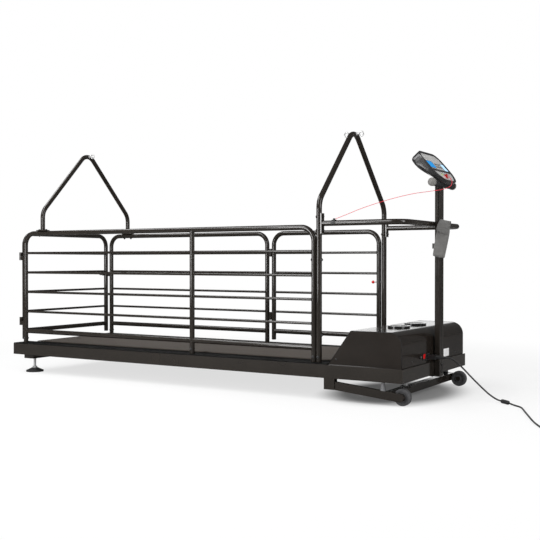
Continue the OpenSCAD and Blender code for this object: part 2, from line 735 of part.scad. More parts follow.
// Rubber cones on the arms, under the rails
bumper_z = arm_z(x_bumper) + arm_h / 2;
module incline_bumpers() color("#55555a") for (s = [-1, 1]) translate([x_bumper, s * arm_y, 0]) difference() {
    translate([0, 0, bumper_z - 3])
        cylinder(h = rail_z - side_gap - bumper_z + 3, r1 = bumper_r[0], r2 = bumper_r[1]);
    translate([-x_bumper, 0, 0]) rotate([90, 0, 0]) linear_extrude(60, center = true)
        polygon([[x_pivot, pivot_z + arm_h / 2], [x_wheel, wheel_r + arm_h / 2], [x_wheel, 0], [x_pivot, 0]]);
}

// Solid wheel with a hub, a rim step and a rounded tread
tread_r = 5;
rim_in = [13, 25];
module wheel_section() difference() {
    union() {
        translate([wheel_axle_r + run_gap, -wheel_w / 2])
            square([wheel_r - tread_r - wheel_axle_r - run_gap, wheel_w]);
        translate([wheel_r - tread_r - 3, tread_r - wheel_w / 2])
            square([tread_r + 3, wheel_w - 2 * tread_r]);
        for (k = [-1, 1]) translate([wheel_r - tread_r, k * (wheel_w / 2 - tread_r)]) circle(tread_r);
    }
    for (k = [-1, 1]) translate([rim_in[0], k * wheel_w / 2 - 3]) square([rim_in[1] - rim_in[0], 6]);
}
module wheel(s) color(soft_black) translate([x_wheel, s * wheel_y, wheel_r]) rotate([90, 0, 0])
    rotate_extrude() wheel_section();
module wheel_near() wheel(-1);
module wheel_far() wheel(1);

// Levelling foot: stem, lock nut and conical base
module foot(s) color(soft_black) translate([x_rear + foot_in, s * foot_y, 0]) {
    cone_z = foot_base_h + foot_cone_h;
    cylinder(h = foot_base_h, r = foot_r);
    translate([0, 0, foot_base_h]) cylinder(h = foot_cone_h, r1 = foot_r, r2 = foot_nut_r + 4);
    translate([0, 0, cone_z]) cylinder(h = 8, r = foot_nut_r);
    translate([0, 0, cone_z + 8]) cylinder(h = rail_z + 14 - cone_z - 8, r = foot_stem_r);
    translate([0, 0, rail_z - channel_top_t - 9 - side_gap]) cylinder(h = 9, r = foot_nut_r, $fn = 6);
}
module foot_near() foot(-1);
module foot_far() foot(1);

// Inverted U of bent tube: two posts and a top rail
module u_tube(xa, xb, y, z, r) {
    for (x = [xa, xb]) translate([x, y, z]) cylinder(h = panel_top - corner_r - z, r = r);
    bar([xa + corner_r, y, panel_top], [xb - corner_r, y, panel_top], r);
    xz_bend(xa + corner_r, y, panel_top - corner_r, 90, corner_r, r);
    xz_bend(xb - corner_r, y, panel_top - corner_r, 0, corner_r, r);
}
// Frame of a panel: the bent tube and its middle posts
module panel(xa, xb, y, z, mids = []) difference() {
    union() {
        u_tube(xa, xb, y, z, tube_r);
        for (m = mids) translate([m, y, z]) cylinder(h = panel_top - z, r = tube_r);
    }
    u_tube(xa, xb, y, z - eps, tube_bore);
    for (m = mids) translate([m, y, z - eps]) cylinder(h = panel_top - z + eps, r = tube_bore);
}
// Lower tube and thin bars of a panel, cut to the posts that they are welded to
module panel_bars(xa, xb, y, mids = []) difference() {
    union() {
        bar([xa, y, panel_low], [xb, y, panel_low], tube_r);
        for (i = [1:bar_count]) bar([xa, y, panel_low + i * pitch], [xb, y, panel_low + i * pitch], bar_r);
    }
    bar([xa, y, panel_low], [xb, y, panel_low], tube_bore);
    for (x = concat([xa, xb], mids)) translate([x, y, panel_low - corner_r])
        cylinder(h = panel_top - panel_low, r = tube_r + run_gap);
}
module near_panel() color(black) difference() {
    panel(x_post, x_near_end, -post_y, strip_top, [x_mid]);
    bolt_cuts(panel_hoop_bolts);
    bolt_cuts(post_foot_bolts);
    bolt_cuts(flange_bolts);
}
// Bars of the two fixed sides
module side_bars() color(black) {
    panel_bars(x_post, x_near_end, -post_y, [x_mid]);
    panel_bars(x_post, x_door - hinge_gap / 2, post_y);
}
// Fixed half of the far side, with the gate bolt's keeper
keeper_y = gate_y + tube_r + 14;
bolt_x = x_gate - tube_r - 5;
module far_panel() color(black) {
    difference() {
        panel(x_post, x_door - hinge_gap / 2, post_y, strip_top);
        bolt_cuts(post_foot_bolts);
        bolt_cuts(flange_bolts);
    }
    difference() {
        block(bolt_x - 9, bolt_latch_z - 14, x_post - bolt_x + 9, 5, 28, keeper_y + 2.5);
        y_bar(bolt_x, keeper_y - eps, bolt_latch_z, 5 + 2 * eps, 5.5);
        translate([x_post, post_y, bolt_latch_z - 15]) cylinder(h = 30, r = tube_bore);
    }
}

// Hoop across the frame: two posts bent in to a rounded top. The leaning runs are a hair slimmer than
// the bends, and end inside them
run_step = 0.25;
function hoop_lean(top) = let (a = post_y - hoop_bend_r, b = top - hoop_apex_r - hoop_bend_z)
    acos((hoop_apex_r - hoop_bend_r) / sqrt(a * a + b * b)) - atan2(b, a);
module hoop_path(x, z, top, r) {
    lean = hoop_lean(top);
    apex = top - hoop_apex_r;
    d = hoop_apex_r - hoop_bend_r;
    run = norm([post_y - hoop_bend_r - d * cos(lean), apex - hoop_bend_z + d * sin(lean)]);
    for (s = [-1, 1]) {
        translate([x, s * post_y, z]) cylinder(h = hoop_bend_z - z, r = r);
        translate([x, s * (post_y - hoop_bend_r), hoop_bend_z]) rotate([90, 0, 90 * s]) {
            rotate_extrude(angle = lean) translate([hoop_bend_r, 0]) circle(r);
            rotate([0, 0, lean]) translate([hoop_bend_r, -eps, 0]) rotate([-90, 0, 0])
                cylinder(h = run + 2 * eps, r = r - run_step);
        }
    }
    translate([x, 0, apex]) rotate([90, 0, 90]) rotate([0, 0, lean])
        rotate_extrude(angle = 180 - 2 * lean) translate([hoop_apex_r, 0]) circle(r);
}
eye_stem_r = 4;
eye_ring_r = 11;
eye_wire_r = 3;
eye_reach = 27;
eye_nut_h = 6;
eye_nut_r = 7;
eye_tail = 12;
module eye_hole(x, z, r) x_bar(x - r - eps, 0, z, 2 * (r + eps), eye_stem_r + hole_gap);
module front_hoop() color(black) difference() {
    hoop_path(x_hoop, strip_top, hoop_top, hoop_r);
    hoop_path(x_hoop, strip_top - eps, hoop_top, hoop_r - tube_wall);
    eye_hole(x_hoop, hoop_top, hoop_r);
    bolt_cuts(panel_hoop_bolts);
    bolt_cuts(hoop_foot_bolts);
    bolt_cuts(handrail_bolts);
    x_bar(x_hoop - hoop_r - eps, post_y, latch_z, hoop_r, latch_r + 1.5);
}
module rear_hoop() color(black) difference() {
    union() {
        hoop_path(x_rear_hoop, flange_z + flange_t - eps, rear_hoop_top, tube_r);
        for (s = [-1, 1])
            block(x_rear_hoop - flange_l / 2, flange_z, flange_l, flange_w, flange_t, s * post_y);
    }
    hoop_path(x_rear_hoop, flange_z - eps, rear_hoop_top, tube_bore);
    eye_hole(x_rear_hoop, rear_hoop_top, tube_r);
    for (b = flange_bolts) turned(b) translate([0, 0, -eps])
        cylinder(h = flange_t + 3, r = bolt_r + hole_gap);
}
// Eye bolt through the top of a hoop of tube radius r, with a ring or a bare tail on each side
module eye_bolt(x, z, r, rings) translate([x, 0, z]) {
    ends = [for (s = [-1, 1]) len(search(s, rings)) > 0 ? r + eye_reach - eye_ring_r : r + eye_tail];
    x_bar(-ends[0], 0, 0, ends[0] + ends[1], eye_stem_r);
    for (s = [-1, 1]) rotate([0, 90 * s, 0]) translate([0, 0, r + run_gap])
        cylinder(h = eye_nut_h, r = eye_nut_r, $fn = 6);
    for (s = rings) translate([s * (r + eye_reach), 0, 0]) rotate([90, 0, 0])
        rotate_extrude() translate([eye_ring_r, 0]) circle(eye_wire_r);
}
module leash_eyes() color(steel) {
    eye_bolt(x_hoop, hoop_top, hoop_r, [-1, 1]);
    eye_bolt(x_rear_hoop, rear_hoop_top, tube_r, [1]);
}

// Handrail from the hoop's posts round behind the mast
x_rail_bar = x_mast - tube_r;
module rail_path(r) {
    for (s = [-1, 1]) {
        bar([x_hoop + hoop_r, s * post_y, handrail_z], [x_rail_bar - handrail_r, s * post_y, handrail_z], r);
        translate([x_rail_bar - handrail_r, s * (post_y - handrail_r), handrail_z])
            rotate([0, 0, s > 0 ? 0 : -90]) rotate_extrude(angle = 90) translate([handrail_r, 0]) circle(r);
    }
    bar([x_rail_bar, handrail_r - post_y, handrail_z], [x_rail_bar, post_y - handrail_r, handrail_z], r);
}
module handrail() color(black) difference() {
    union() {
        rail_path(tube_r);
        for (s = [-1, 1]) block(x_hoop + hoop_r, handrail_z - rail_plate_h / 2,
            rail_plate_t, rail_plate_w, rail_plate_h, s * post_y);
    }
    rail_path(tube_bore);
    for (b = handrail_bolts) turned(b) cylinder(h = b[2] + eps, r = bolt_r + hole_gap);
    bolt_cuts(mast_rail_bolt);
}
// Bolts of the frame and screws of the hood
module fasteners() color(soft_black) {
    for (b = concat(panel_hoop_bolts, post_foot_bolts, hoop_foot_bolts, handrail_bolts,
        flange_bolts, mast_bolts, mast_rail_bolt)) bolt(b);
    hood_screws();
}

// Fixed halves of the gate and door hinges, each with its pin, on the cage posts
module pin_half(axis, z) translate([axis.x, axis.y, z]) {
    cylinder(h = knuckle_h, r = knuckle_r);
    cylinder(h = 2 * knuckle_h - 2, r = hinge_pin_r);
}
module hinge_pins() color(soft_black) difference() {
    union() {
        for (z = gate_hinge_z) {
            pin_half(gate_axis, z);
            translate([gate_axis.x, gate_axis.y - 4, z]) cube([x_post - gate_axis.x, 8, knuckle_h]);
        }
        for (z = door_hinge_z) {
            pin_half(door_axis, z);
            translate([door_axis.x - hinge_gap / 2, door_axis.y - 3, z]) cube([hinge_gap / 2, 6, knuckle_h]);
        }
    }
    translate([x_post, -post_y, 0]) cylinder(h = panel_top - corner_r, r = tube_r);
    translate([x_door - hinge_gap / 2, post_y, 0]) cylinder(h = panel_top - corner_r, r = tube_r);
}
module knuckle(axis, z) translate([axis.x, axis.y, z + knuckle_h + side_gap]) difference() {
    children();
    translate([0, 0, -eps]) cylinder(h = knuckle_h + 2 * eps, r = hinge_pin_r + run_gap);
}

// Rear gate: a barred frame across the rear, turned into the X-Z plane of the side panels
bolt_sleeve_r = 7;
bolt_lug = 24;
hinge_leaf = 12;
module rear_gate() color(black) {
    difference() {
        union() {
            translate([x_gate, 0, 0]) rotate([0, 0, 90]) panel(-gate_y, gate_y, 0, swing_z);
            y_bar(bolt_x, gate_y - 34, bolt_latch_z, 44, bolt_sleeve_r);
            block(bolt_x - 3, bolt_latch_z - 10, x_gate - tube_r - bolt_x + 6, bolt_lug, 20, gate_y);
        }
        y_bar(bolt_x, gate_y - 36, bolt_latch_z, 60, latch_r + run_gap);
        translate([x_gate, gate_y, swing_z - eps])
            cylinder(h = panel_top - corner_r - swing_z, r = tube_bore);
        // Slot for the bolt's handle
        translate([bolt_x - 12, gate_y - 22, bolt_latch_z - 2.2]) cube([12, 26, 4.4]);
    }
    for (z = gate_hinge_z) difference() {
        knuckle(gate_axis, z) union() {
            cylinder(h = knuckle_h, r = knuckle_r);
            translate([-4, 0, 0]) cube([hinge_leaf, -gate_axis.y - gate_y, knuckle_h]);
        }
        translate([x_gate, -gate_y, 0]) cylinder(h = panel_top - corner_r, r = tube_r - 0.5);
    }
}
module gate_bars() color(black) translate([x_gate, 0, 0]) rotate([0, 0, 90]) panel_bars(-gate_y, gate_y, 0);
// Half outline of a ball on a stem of radius a
function ball_outline(r, a) = [for (i = [0:ball_n]) let (t = i * (180 - asin(a / r)) / ball_n)
    [r * sin(t), -r * cos(t)]];
// Sliding bolt of the gate, drawn back at rest
bolt_knob_r = 4;
bolt_stem_r = 1.9;
module gate_bolt() color(steel) {
    y_bar(bolt_x, gate_y - 44, bolt_latch_z, keeper_y - 3 - gate_y + 44, latch_r);
    translate([bolt_x - 13, gate_y - 19, bolt_latch_z]) rotate([0, 90, 0]) rotate_extrude()
        polygon(concat(ball_outline(bolt_knob_r, bolt_stem_r), [[bolt_stem_r, 13], [0, 13]]));
}
// Side door, hinged beside the fixed far panel
module side_door() color(black) {
    difference() {
        panel(x_door + hinge_gap / 2, x_door_end, post_y, swing_z);
        x_bar(x_door_end - tube_r - 5, post_y, latch_z, 2 * tube_r + 10, latch_r + run_gap);
    }
    for (z = door_hinge_z) difference() {
        knuckle(door_axis, z) union() {
            cylinder(h = knuckle_h, r = knuckle_r);
            translate([0, -3, 0]) cube([hinge_gap / 2, 6, knuckle_h]);
        }
        translate([x_door + hinge_gap / 2, post_y, 0]) cylinder(h = panel_top - corner_r, r = tube_r - 0.5);
    }
}
// Latch pin of the door, drawn back at rest, and its ball knob
knob_r = 8;
knob_collar_r = 5.5;
pin_tail = x_door_end - tube_r - 16;
module door_pin() color(steel) x_bar(pin_tail, post_y, latch_z, x_door_end + tube_r + 1 - pin_tail, latch_r);
module door_knob() color(red) translate([pin_tail - 5, post_y, latch_z]) rotate([0, 90, 0]) rotate_extrude()
    polygon(concat(ball_outline(knob_r, knob_collar_r),
        [[knob_collar_r, 9], [latch_r + run_gap, 9], [latch_r + run_gap, 5], [0, 5]]));
module door_bars() color(black) panel_bars(x_door + hinge_gap / 2, x_door_end, post_y);

// Mast: flat tube bolted to the front rail, saddled under the grip tube
mast_wall = 2;
mast_plug = 30;
module mast() color(black) difference() {
    block(x_mast, mast_foot_z, mast_d, mast_w, grip_z - mast_foot_z);
    block(x_mast + mast_wall, mast_foot_z - eps, mast_d - 2 * mast_wall, mast_w - 2 * mast_wall,
        grip_z - mast_foot_z - mast_plug);
    y_bar(x_grip, -mast_w, grip_z, 2 * mast_w, grip_r);
    for (b = concat(mast_bolts, mast_rail_bolt)) turned(b) translate([0, 0, -eps])
        cylinder(h = mast_d + 2 * eps, r = bolt_r + hole_gap);
}
module console_grip() color(soft_black) y_bar(x_grip, -grip_len / 2, grip_z, grip_len, grip_r);
grip_cap_h = 10;
module grip_caps() color(grey) for (s = [-1, 1]) translate([x_grip, s * grip_len / 2, grip_z])
    rotate([-90 * s, 0, 0]) {
        cylinder(h = grip_cap_h, r = grip_cap_r);
        translate([0, 0, grip_cap_h]) dome(grip_cap_r - 1, grip_cap_h / 2);
    }

// Console: sloping face, with u down the slope, v across and w out of the face
console_top = [x_grip - 80, grip_z + 151];
module on_face() translate([console_top.x, 0, console_top.y]) rotate([0, face_tilt, 0]) children();
// Face outline, with corners of radius r at its upper end and q at its lower end
module rounded(du, dv, r, q) {
    translate([r, -dv / 2]) square([du - r - q, dv]);
    translate([0, r - dv / 2]) square([du - q, dv - 2 * r]);
    translate([r, q - dv / 2]) square([du - r, dv - 2 * q]);
    for (s = [-1, 1]) {
        translate([r, s * (dv / 2 - r)]) circle(r);
        translate([du - q, s * (dv / 2 - q)]) circle(q);
    }
}
pod_round = [52, 86];
pod_wall = 5;
pod_knee = 76;
back_round = [14, 40, 18];
ledge_u = 122;
face_t = 3;
key_u = face_len - 37;
// Points of corner c rounded to radius r, between its neighbours p and q
arc_n = 6;
function round_corner(p, c, q, r) = let (a = unit(p - c), b = unit(q - c), half = acos(a * b) / 2,
    m = c + unit(a + b) * r / sin(half), da = c + a * r / tan(half) - m, db = c + b * r / tan(half) - m,
    turn = 180 - 2 * half)
    [for (i = [0:arc_n]) m + (da * sin((1 - i / arc_n) * turn) + db * sin(i / arc_n * turn)) / sin(turn)];
// Side outline of the shell, in by t: level back, then a slope in to the rounded lower edge
module pod_outline(t) {
    c = [[t, t - pod_t], [pod_knee, t - pod_t], [face_len - t, t - nose_t], [face_len - t, t], [t, t]];
    polygon(concat(round_corner(c[4], c[0], c[1], back_round[0] - t),
        round_corner(c[0], c[1], c[2], back_round[1]),
        round_corner(c[1], c[2], c[3], back_round[2] - t), [c[3], c[4]]));
}
module face_outline(t) translate([t, 0])
    rounded(face_len - 2 * t, console_w - 2 * t, pod_round[0] - t, pod_round[1] - t);
module pod(t) intersection() {
    on_face() translate([0, 0, -pod_t]) linear_extrude(pod_t + t) face_outline(t);
    on_face() translate([0, console_w / 2, 0]) rotate([90, 0, 0]) linear_extrude(console_w) pod_outline(t);
}
// Shell, hollow but for a sleeve over the grip tube
module console_back() color(black) difference() {
    pod(0);
    difference() {
        pod(pod_wall);
        y_bar(x_grip, -console_w, grip_z, 2 * console_w, grip_r + pod_wall);
    }
    y_bar(x_grip, -console_w, grip_z, 2 * console_w, grip_r);
}
// Face plate, sunk in the shell, with a ridge between the display window and the key's ledge
face_in = pod_wall + 0.3;
face_sink = 4;
ridge_in = 16;
screens = [[62, -72, 42, 78], [66, 86, 46, 46]];
screen_deep = 1.5;
screen_r = 8;
key_w = 22;
key_t = 4;
key_gap = 1;
module console_face() color("#c9ccce") on_face() difference() {
    union() {
        translate([0, 0, -face_sink - face_t]) linear_extrude(face_t) face_outline(face_in);
        translate([ledge_u - 4, ridge_in - console_w / 2, -face_sink - eps])
            cube([6, console_w - 2 * ridge_in, face_sink + eps]);
    }
    for (d = screens) translate([d[0], d[1], -face_sink - screen_deep])
        linear_extrude(4) rounded(d[2], d[3], screen_r, screen_r);
    translate([key_u - key_w / 2 - key_gap, -key_w / 2 - key_gap, -face_sink - 1.6])
        cube([key_w + 2 * key_gap, key_w + 2 * key_gap, 4]);
}
module display_lens() color(blue) on_face() for (d = screens)
    translate([d[0] + cut_gap, d[1], -face_sink - screen_deep]) linear_extrude(2.1)
        rounded(d[2] - 2 * cut_gap, d[3] - 2 * cut_gap, screen_r - cut_gap, screen_r - cut_gap);
// Magnetic key: square base, grip and the ring that the lanyard is tied to
module safety_key() color(red) on_face() translate([key_u, 0, -face_sink - 1.4]) {
    translate([-key_w / 2, -key_w / 2, 0]) cube([key_w, key_w, key_t]);
    translate([-4, -8, key_t]) cube([8, 16, 8]);
    translate([0, -8, 9]) rotate([90, 0, 0]) difference() {
        cylinder(h = 3, r = 6);
        translate([0, 0, -eps]) cylinder(h = 5, r = 2.2);
    }
}

// Pouch strapped to the mast's near side, leaning to the front
strap_z = handrail_z - 114;
strap_h = 26;
strap_t = 3;
pouch_place = [x_mast + 22, -mast_w / 2 - strap_t - cut_gap, handrail_z - 154];
module pouch_slice(w, t, z) translate([-w / 2, -t, z]) cube([w, t, 8]);
module tool_pouch() color("#77767a") translate(pouch_place) rotate([0, pouch_lean, 0]) hull() {
    pouch_slice(pouch_w - 4, pouch_t / 2, 0);
    pouch_slice(pouch_w, pouch_t, pouch_h * 0.7);
    pouch_slice(pouch_w - 12, pouch_t / 3, pouch_h - 8);
}
module pouch_strap() color("#55555a") difference() {
    block(x_mast - strap_t, strap_z, mast_d + 2 * strap_t, mast_w + 2 * strap_t, strap_h);
    block(x_mast - cut_gap, strap_z - eps, mast_d + 2 * cut_gap, mast_w + 2 * cut_gap, strap_h + 2 * eps);
}

// Smooth curve through hand-placed points, as a list of points
function spline_at(p, i, t) =
    let (a = p[max(i - 1, 0)], b = p[i], c = p[i + 1], d = p[min(i + 2, len(p) - 1)])
    0.5 * (2 * b + (c - a) * t + (2 * a - 5 * b + 4 * c - d) * t * t + (3 * b - a - 3 * c + d) * t * t * t);
function spline(p, n) = concat([for (i = [0:len(p) - 2], k = [0:n - 1]) spline_at(p, i, k / n)],
    [p[len(p) - 1]]);
function unit(v) = v / norm(v);
// Tube swept along points; ref is never parallel to the path
module tube_along(p, r, sides, ref) {
    n = len(p);
    rings = [for (i = [0:n - 1])
        let (t = unit(p[min(i + 1, n - 1)] - p[max(i - 1, 0)]), a = unit(cross(t, ref)), b = cross(a, t))
        for (k = [0:sides - 1]) p[i] + r * (cos(360 * k / sides) * a + sin(360 * k / sides) * b)];
    caps = [p[0], p[n - 1]];
    function at(i, k) = i * sides + k % sides;
    polyhedron(concat(rings, caps), concat(
        [for (i = [0:n - 2], k = [0:sides - 1]) [at(i, k), at(i + 1, k), at(i + 1, k + 1)]],
        [for (i = [0:n - 2], k = [0:sides - 1]) [at(i, k), at(i + 1, k + 1), at(i, k + 1)]],
        [for (k = [0:sides - 1]) [n * sides, at(0, k), at(0, k + 1)]],
        [for (k = [0:sides - 1]) [n * sides + 1, at(n - 1, k + 1), at(n - 1, k)]]));
}

// Red safety lanyard from the key to its clip on the handrail
lanyard_route = [[1198, -12.8, 1016.6], [1208, -15, 1008], [1220, -18, 994], [1225, -22, 978],
                 [1220, -29, 964], [1204, -42, 953], [1180, -62, 946], [1140, -96, 938], [1080, -146, 926],
                 [1000, -214, 900], [910, -287, 863], [846, -335, 831], [800, -357, 811]];
module lanyard() color(red) tube_along(spline(lanyard_route, 3), lanyard_r, 8, unit([0.7, -0.7, 0.1]));
x_clip = x_hoop + 76;
clip_half = 9;
clip_t = 3;
module lanyard_clip() color(soft_black) difference() {
    union() {
        x_bar(x_clip - clip_half, -post_y, handrail_z, 2 * clip_half, tube_r + clip_t);
        translate([x_clip, -post_y, handrail_z + tube_r]) cylinder(h = 9, r = 5);
    }
    x_bar(x_clip - 2 * clip_half, -post_y, handrail_z, 4 * clip_half, tube_r + run_gap);
    block(x_clip - 2 * clip_half, handrail_z - 40, 4 * clip_half, 60, 34, -post_y);
}

// Mains lead: connector in the inlet, lead over the floor, core, coil and plug
x_plug_end = x_hood_f + 88;
x_sleeve = x_hood_f + 40.8;
module cord_connector() color(cord_black) {
    block(x_hood_f - 16, inlet_z - 8.4, 16, 24, 16.8, inlet_y);
    block(x_hood_f + 2.8, inlet_z - 10, x_sleeve - x_hood_f - 2.8, 27, 20, inlet_y);
    block(x_hood_f - 1, inlet_z - 8.4, 5, 24, 16.8, inlet_y);
    translate([x_sleeve, inlet_y, inlet_z]) rotate([0, 90, 0])
        cylinder(h = x_plug_end - x_sleeve, r1 = 8.5, r2 = cord_r + 1.4);
}
coil_turns = 4;
coil_r = 46;
coil_step = 2 * cord_r + 0.8;
coil_x = 1850;
coil_y = -600;
coil_a = 220;
coil_end = [coil_x + coil_r * cos(coil_a), coil_y + coil_r * sin(coil_a), cord_r + coil_step];
coil_away = [-sin(coil_a), cos(coil_a), 0];
lead_z = cord_r + 0.1;
core_r = 9;
core_a = [1470, -61.7, core_r];
core_b = [1506, -91.7, core_r];
lead_route = [[x_plug_end, inlet_y, inlet_z], [1240, -92, 187], [1262, -91, 178], [1298, -87, 148],
              [1334, -79, 110], [1370, -67, 72], [1402, -55.5, 40], [1424, -49, 22.5], [1443, -48, 12.4],
              [1458, -52.6, core_r],
              core_a, (core_a + core_b) / 2, core_b, [1524, -106, 6.4], [1546, -121, lead_z + 0.4],
              [1568, -140, lead_z], [1586, -168, lead_z], [1602, -204, lead_z], [1622, -252, lead_z],
              [1658, -336, lead_z], [1712, -460, lead_z], [1760, -552, lead_z], [1788, -597, lead_z],
              [coil_end.x, coil_end.y, lead_z]];
module mains_cord() color(cord_black) tube_along(spline(lead_route, 2), cord_r, 8, [0, 0.28, 0.96]);
module ferrite_core() color(cord_black) difference() {
    bar(core_a, core_b, core_r);
    bar(2 * core_a - core_b, 2 * core_b - core_a, cord_r + hole_gap);
}
function coil_points() = concat([for (i = [0:24 * coil_turns]) let (t = i / 24, half = coil_turns / 2,
    r = coil_r - coil_step * (half - abs(t - half)), rise = min(max((t - half + 0.25) * 2, 0), 1))
    [coil_x + r * cos(360 * t + coil_a), coil_y + r * sin(360 * t + coil_a), cord_r + coil_step * rise]],
    [for (p = [[14, 0.8], [26, 2.6], [38, 3.4], [50, 3.4]]) coil_end + p[0] * coil_away + [0, 0, p[1]]]);
module cord_coil() color(cord_black) tube_along(coil_points(), cord_r, 6, [0, 0, 1]);
plug_r = 14.5;
plug_l = 34;
module mains_plug() color(cord_black) translate(coil_end + 50 * coil_away + [0, 0, 3.4])
    rotate([0, 90, coil_a - 270]) {
        cylinder(h = 20, r1 = 5, r2 = 9);
        translate([0, 0, 20]) cylinder(h = plug_l, r = plug_r);
        for (s = [-1, 1]) translate([0, 9.5 * s, 20 + plug_l]) cylinder(h = 19, r = 2.4);
    }

base_frame();
rail_end_caps();
landing_strips();
deck_board();
deck_cushions();
running_belt();
roller_axles();
front_roller();
rear_roller();
motor_pan();
drive_motor();
motor_rotor();
drive_belt();
motor_controller();
lift_motor();
lift_rod();
motor_hood();
hood_vents();
switch_bezel();
power_switch();
breaker_button();
power_inlet();
incline_frame();
incline_bumpers();
wheel_near();
wheel_far();
foot_near();
foot_far();
near_panel();
far_panel();
side_bars();
front_hoop();
rear_hoop();
leash_eyes();
handrail();
fasteners();
hinge_pins();
rear_gate();
gate_bars();
gate_bolt();
side_door();
door_bars();
door_pin();
door_knob();
mast();
console_grip();
grip_caps();
console_back();
console_face();
display_lens();
safety_key();
tool_pouch();
pouch_strap();
lanyard();
lanyard_clip();
cord_connector();
mains_cord();
ferrite_core();
cord_coil();
mains_plug();
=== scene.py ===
"""Caged treadmill: finishes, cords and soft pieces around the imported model."""

import json
import math

import bmesh
import bpy
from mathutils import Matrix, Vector


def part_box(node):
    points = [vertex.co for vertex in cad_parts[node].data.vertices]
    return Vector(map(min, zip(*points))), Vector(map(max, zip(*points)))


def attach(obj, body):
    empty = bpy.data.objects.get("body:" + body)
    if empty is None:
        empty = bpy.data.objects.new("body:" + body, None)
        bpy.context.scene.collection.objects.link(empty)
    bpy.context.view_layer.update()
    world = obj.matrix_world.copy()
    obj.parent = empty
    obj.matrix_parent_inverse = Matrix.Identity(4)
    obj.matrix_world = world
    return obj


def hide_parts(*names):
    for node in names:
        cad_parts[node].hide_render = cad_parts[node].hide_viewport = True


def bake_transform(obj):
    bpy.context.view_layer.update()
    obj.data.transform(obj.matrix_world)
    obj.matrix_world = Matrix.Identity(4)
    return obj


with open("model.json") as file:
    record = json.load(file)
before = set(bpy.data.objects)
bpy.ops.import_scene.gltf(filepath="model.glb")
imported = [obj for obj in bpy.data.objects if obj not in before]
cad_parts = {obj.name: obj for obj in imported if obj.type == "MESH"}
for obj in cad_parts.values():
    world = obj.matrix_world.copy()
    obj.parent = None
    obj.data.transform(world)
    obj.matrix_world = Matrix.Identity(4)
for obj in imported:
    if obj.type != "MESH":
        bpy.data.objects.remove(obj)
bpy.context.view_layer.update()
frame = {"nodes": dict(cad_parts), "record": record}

bl_info = {
    "name": "Caged dog treadmill",
    "version": (1, 0, 0),
    "blender": (4, 5, 0),
    "location": "View3D > Sidebar > Treadmill",
    "description": "Finishes, cords and soft pieces of a caged dog treadmill",
    "category": "Object",
}

MM = 0.001
UP = Vector((0, 0, 1))


# Properties

def colour(name, text, value):
    return bpy.props.FloatVectorProperty(
        name=name, description=text, subtype="COLOR", size=3, min=0, max=1, default=value)


def length(name, text, value):
    return bpy.props.FloatProperty(
        name=name, description=text, unit="LENGTH", subtype="DISTANCE", min=0, default=value)


def amount(name, text, value):
    return bpy.props.FloatProperty(name=name, description=text, min=0, default=value)


class TreadmillColours(bpy.types.PropertyGroup):
    """Colours of the treadmill's finishes"""

    paint: colour("Frame paint", "Gloss powder coat of the tubes and rails", (0.0165, 0.0137, 0.0112))
    hood: colour("Hood paint", "Powder coat of the motor hood", (0.0125, 0.0098, 0.0079))
    strip: colour("Landing strips", "Black plastic beside the belt", (0.006, 0.006, 0.006))
    belt: colour("Running belt", "Woven belt with a worn top", (0.066, 0.055, 0.046))
    rubber: colour("Rubber", "Wheels and grip", (0.028, 0.028, 0.029))
    steel: colour("Steel", "Axles, rollers, the feet's stems and eyes", (0.6, 0.6, 0.6))
    plastic: colour("Black plastic", "Caps, plugs, vents and the console's shell", (0.02, 0.02, 0.0205))
    red: colour("Red", "Rocker, ball knob and safety key", (0.72, 0.012, 0.012))
    lanyard: colour("Lanyard", "Braided cord of the safety key", (0.78, 0.03, 0.06))
    grey: colour("Grey plastic", "Grip caps, keys and breaker button", (0.17, 0.165, 0.155))
    face: colour("Console face", "Pale gloss of the display window", (0.72, 0.72, 0.71))
    screen: colour("Near screen", "Blue display", (0.004, 0.22, 0.56))
    screen_far: colour("Far screen", "Pale blue display", (0.42, 0.66, 0.9))
    cloth: colour("Pouch cloth", "Grey woven pouch and strap", (0.13, 0.127, 0.122))
    # Very dark: painted shade for the shadowed gap between the belt and the strips, where the board's edge
    # shows.
    deck: colour("Deck board", "Stained board under the belt", (0.03, 0.024, 0.02))
    bumper: colour("Bumpers", "Grey rubber cones under the rails", (0.15, 0.15, 0.155))
    board: colour("Circuit board", "Motor controller", (0.06, 0.13, 0.075))
    label: colour("Label", "Blank white sticker on the hood", (0.86, 0.86, 0.86))
    iron: colour("Motor iron", "Cast bodies of the motors", (0.045, 0.045, 0.047))
    vinyl: colour("Lead", "Vinyl of the mains lead", (0.017, 0.017, 0.0175))
    ready: colour("Ready lamp", "Small green lamp of the console", (0.5, 0.75, 0.12))


class TreadmillSizes(bpy.types.PropertyGroup):
    """Sizes of the pieces around the solid model"""

    lead: length("Mains lead", "Diameter of the mains lead", 0.0072)
    lanyard: length("Lanyard", "Diameter of the lanyard's cord", 0.0025)
    bead: length("Weld bead", "Radius of a weld bead", 0.0017)
    webbing: length("Webbing", "Thickness of the pouch's strap", 0.0018)
    stitch: length("Stitch", "Length of one stitch", 0.0034)


class TreadmillStage(bpy.types.PropertyGroup):
    """Camera and light of the stage"""

    lens: bpy.props.FloatProperty(
        name="Lens", description="Focal length on a 36 mm sensor", unit="CAMERA", default=58.84)
    key: amount("Key lamp", "Power of the large lamp in front, in watts", 110)
    fill: amount("Fill lamp", "Power of the lamp at the motor end, in watts", 70)
    top: amount("Top lamp", "Power of the lamp overhead, in watts", 110)
    strip: amount("Strip lamp", "Power of the tall lamp in front of the cage, in watts", 32)
    back: amount("Back lamp", "Power of the long low lamp behind, in watts", 28)
    world: amount("Surroundings", "Strength of the even light from all round", 0.42)
    mirror: amount("Reflections", "Strength of the surroundings in glossy finishes", 0.12)


# Node helpers

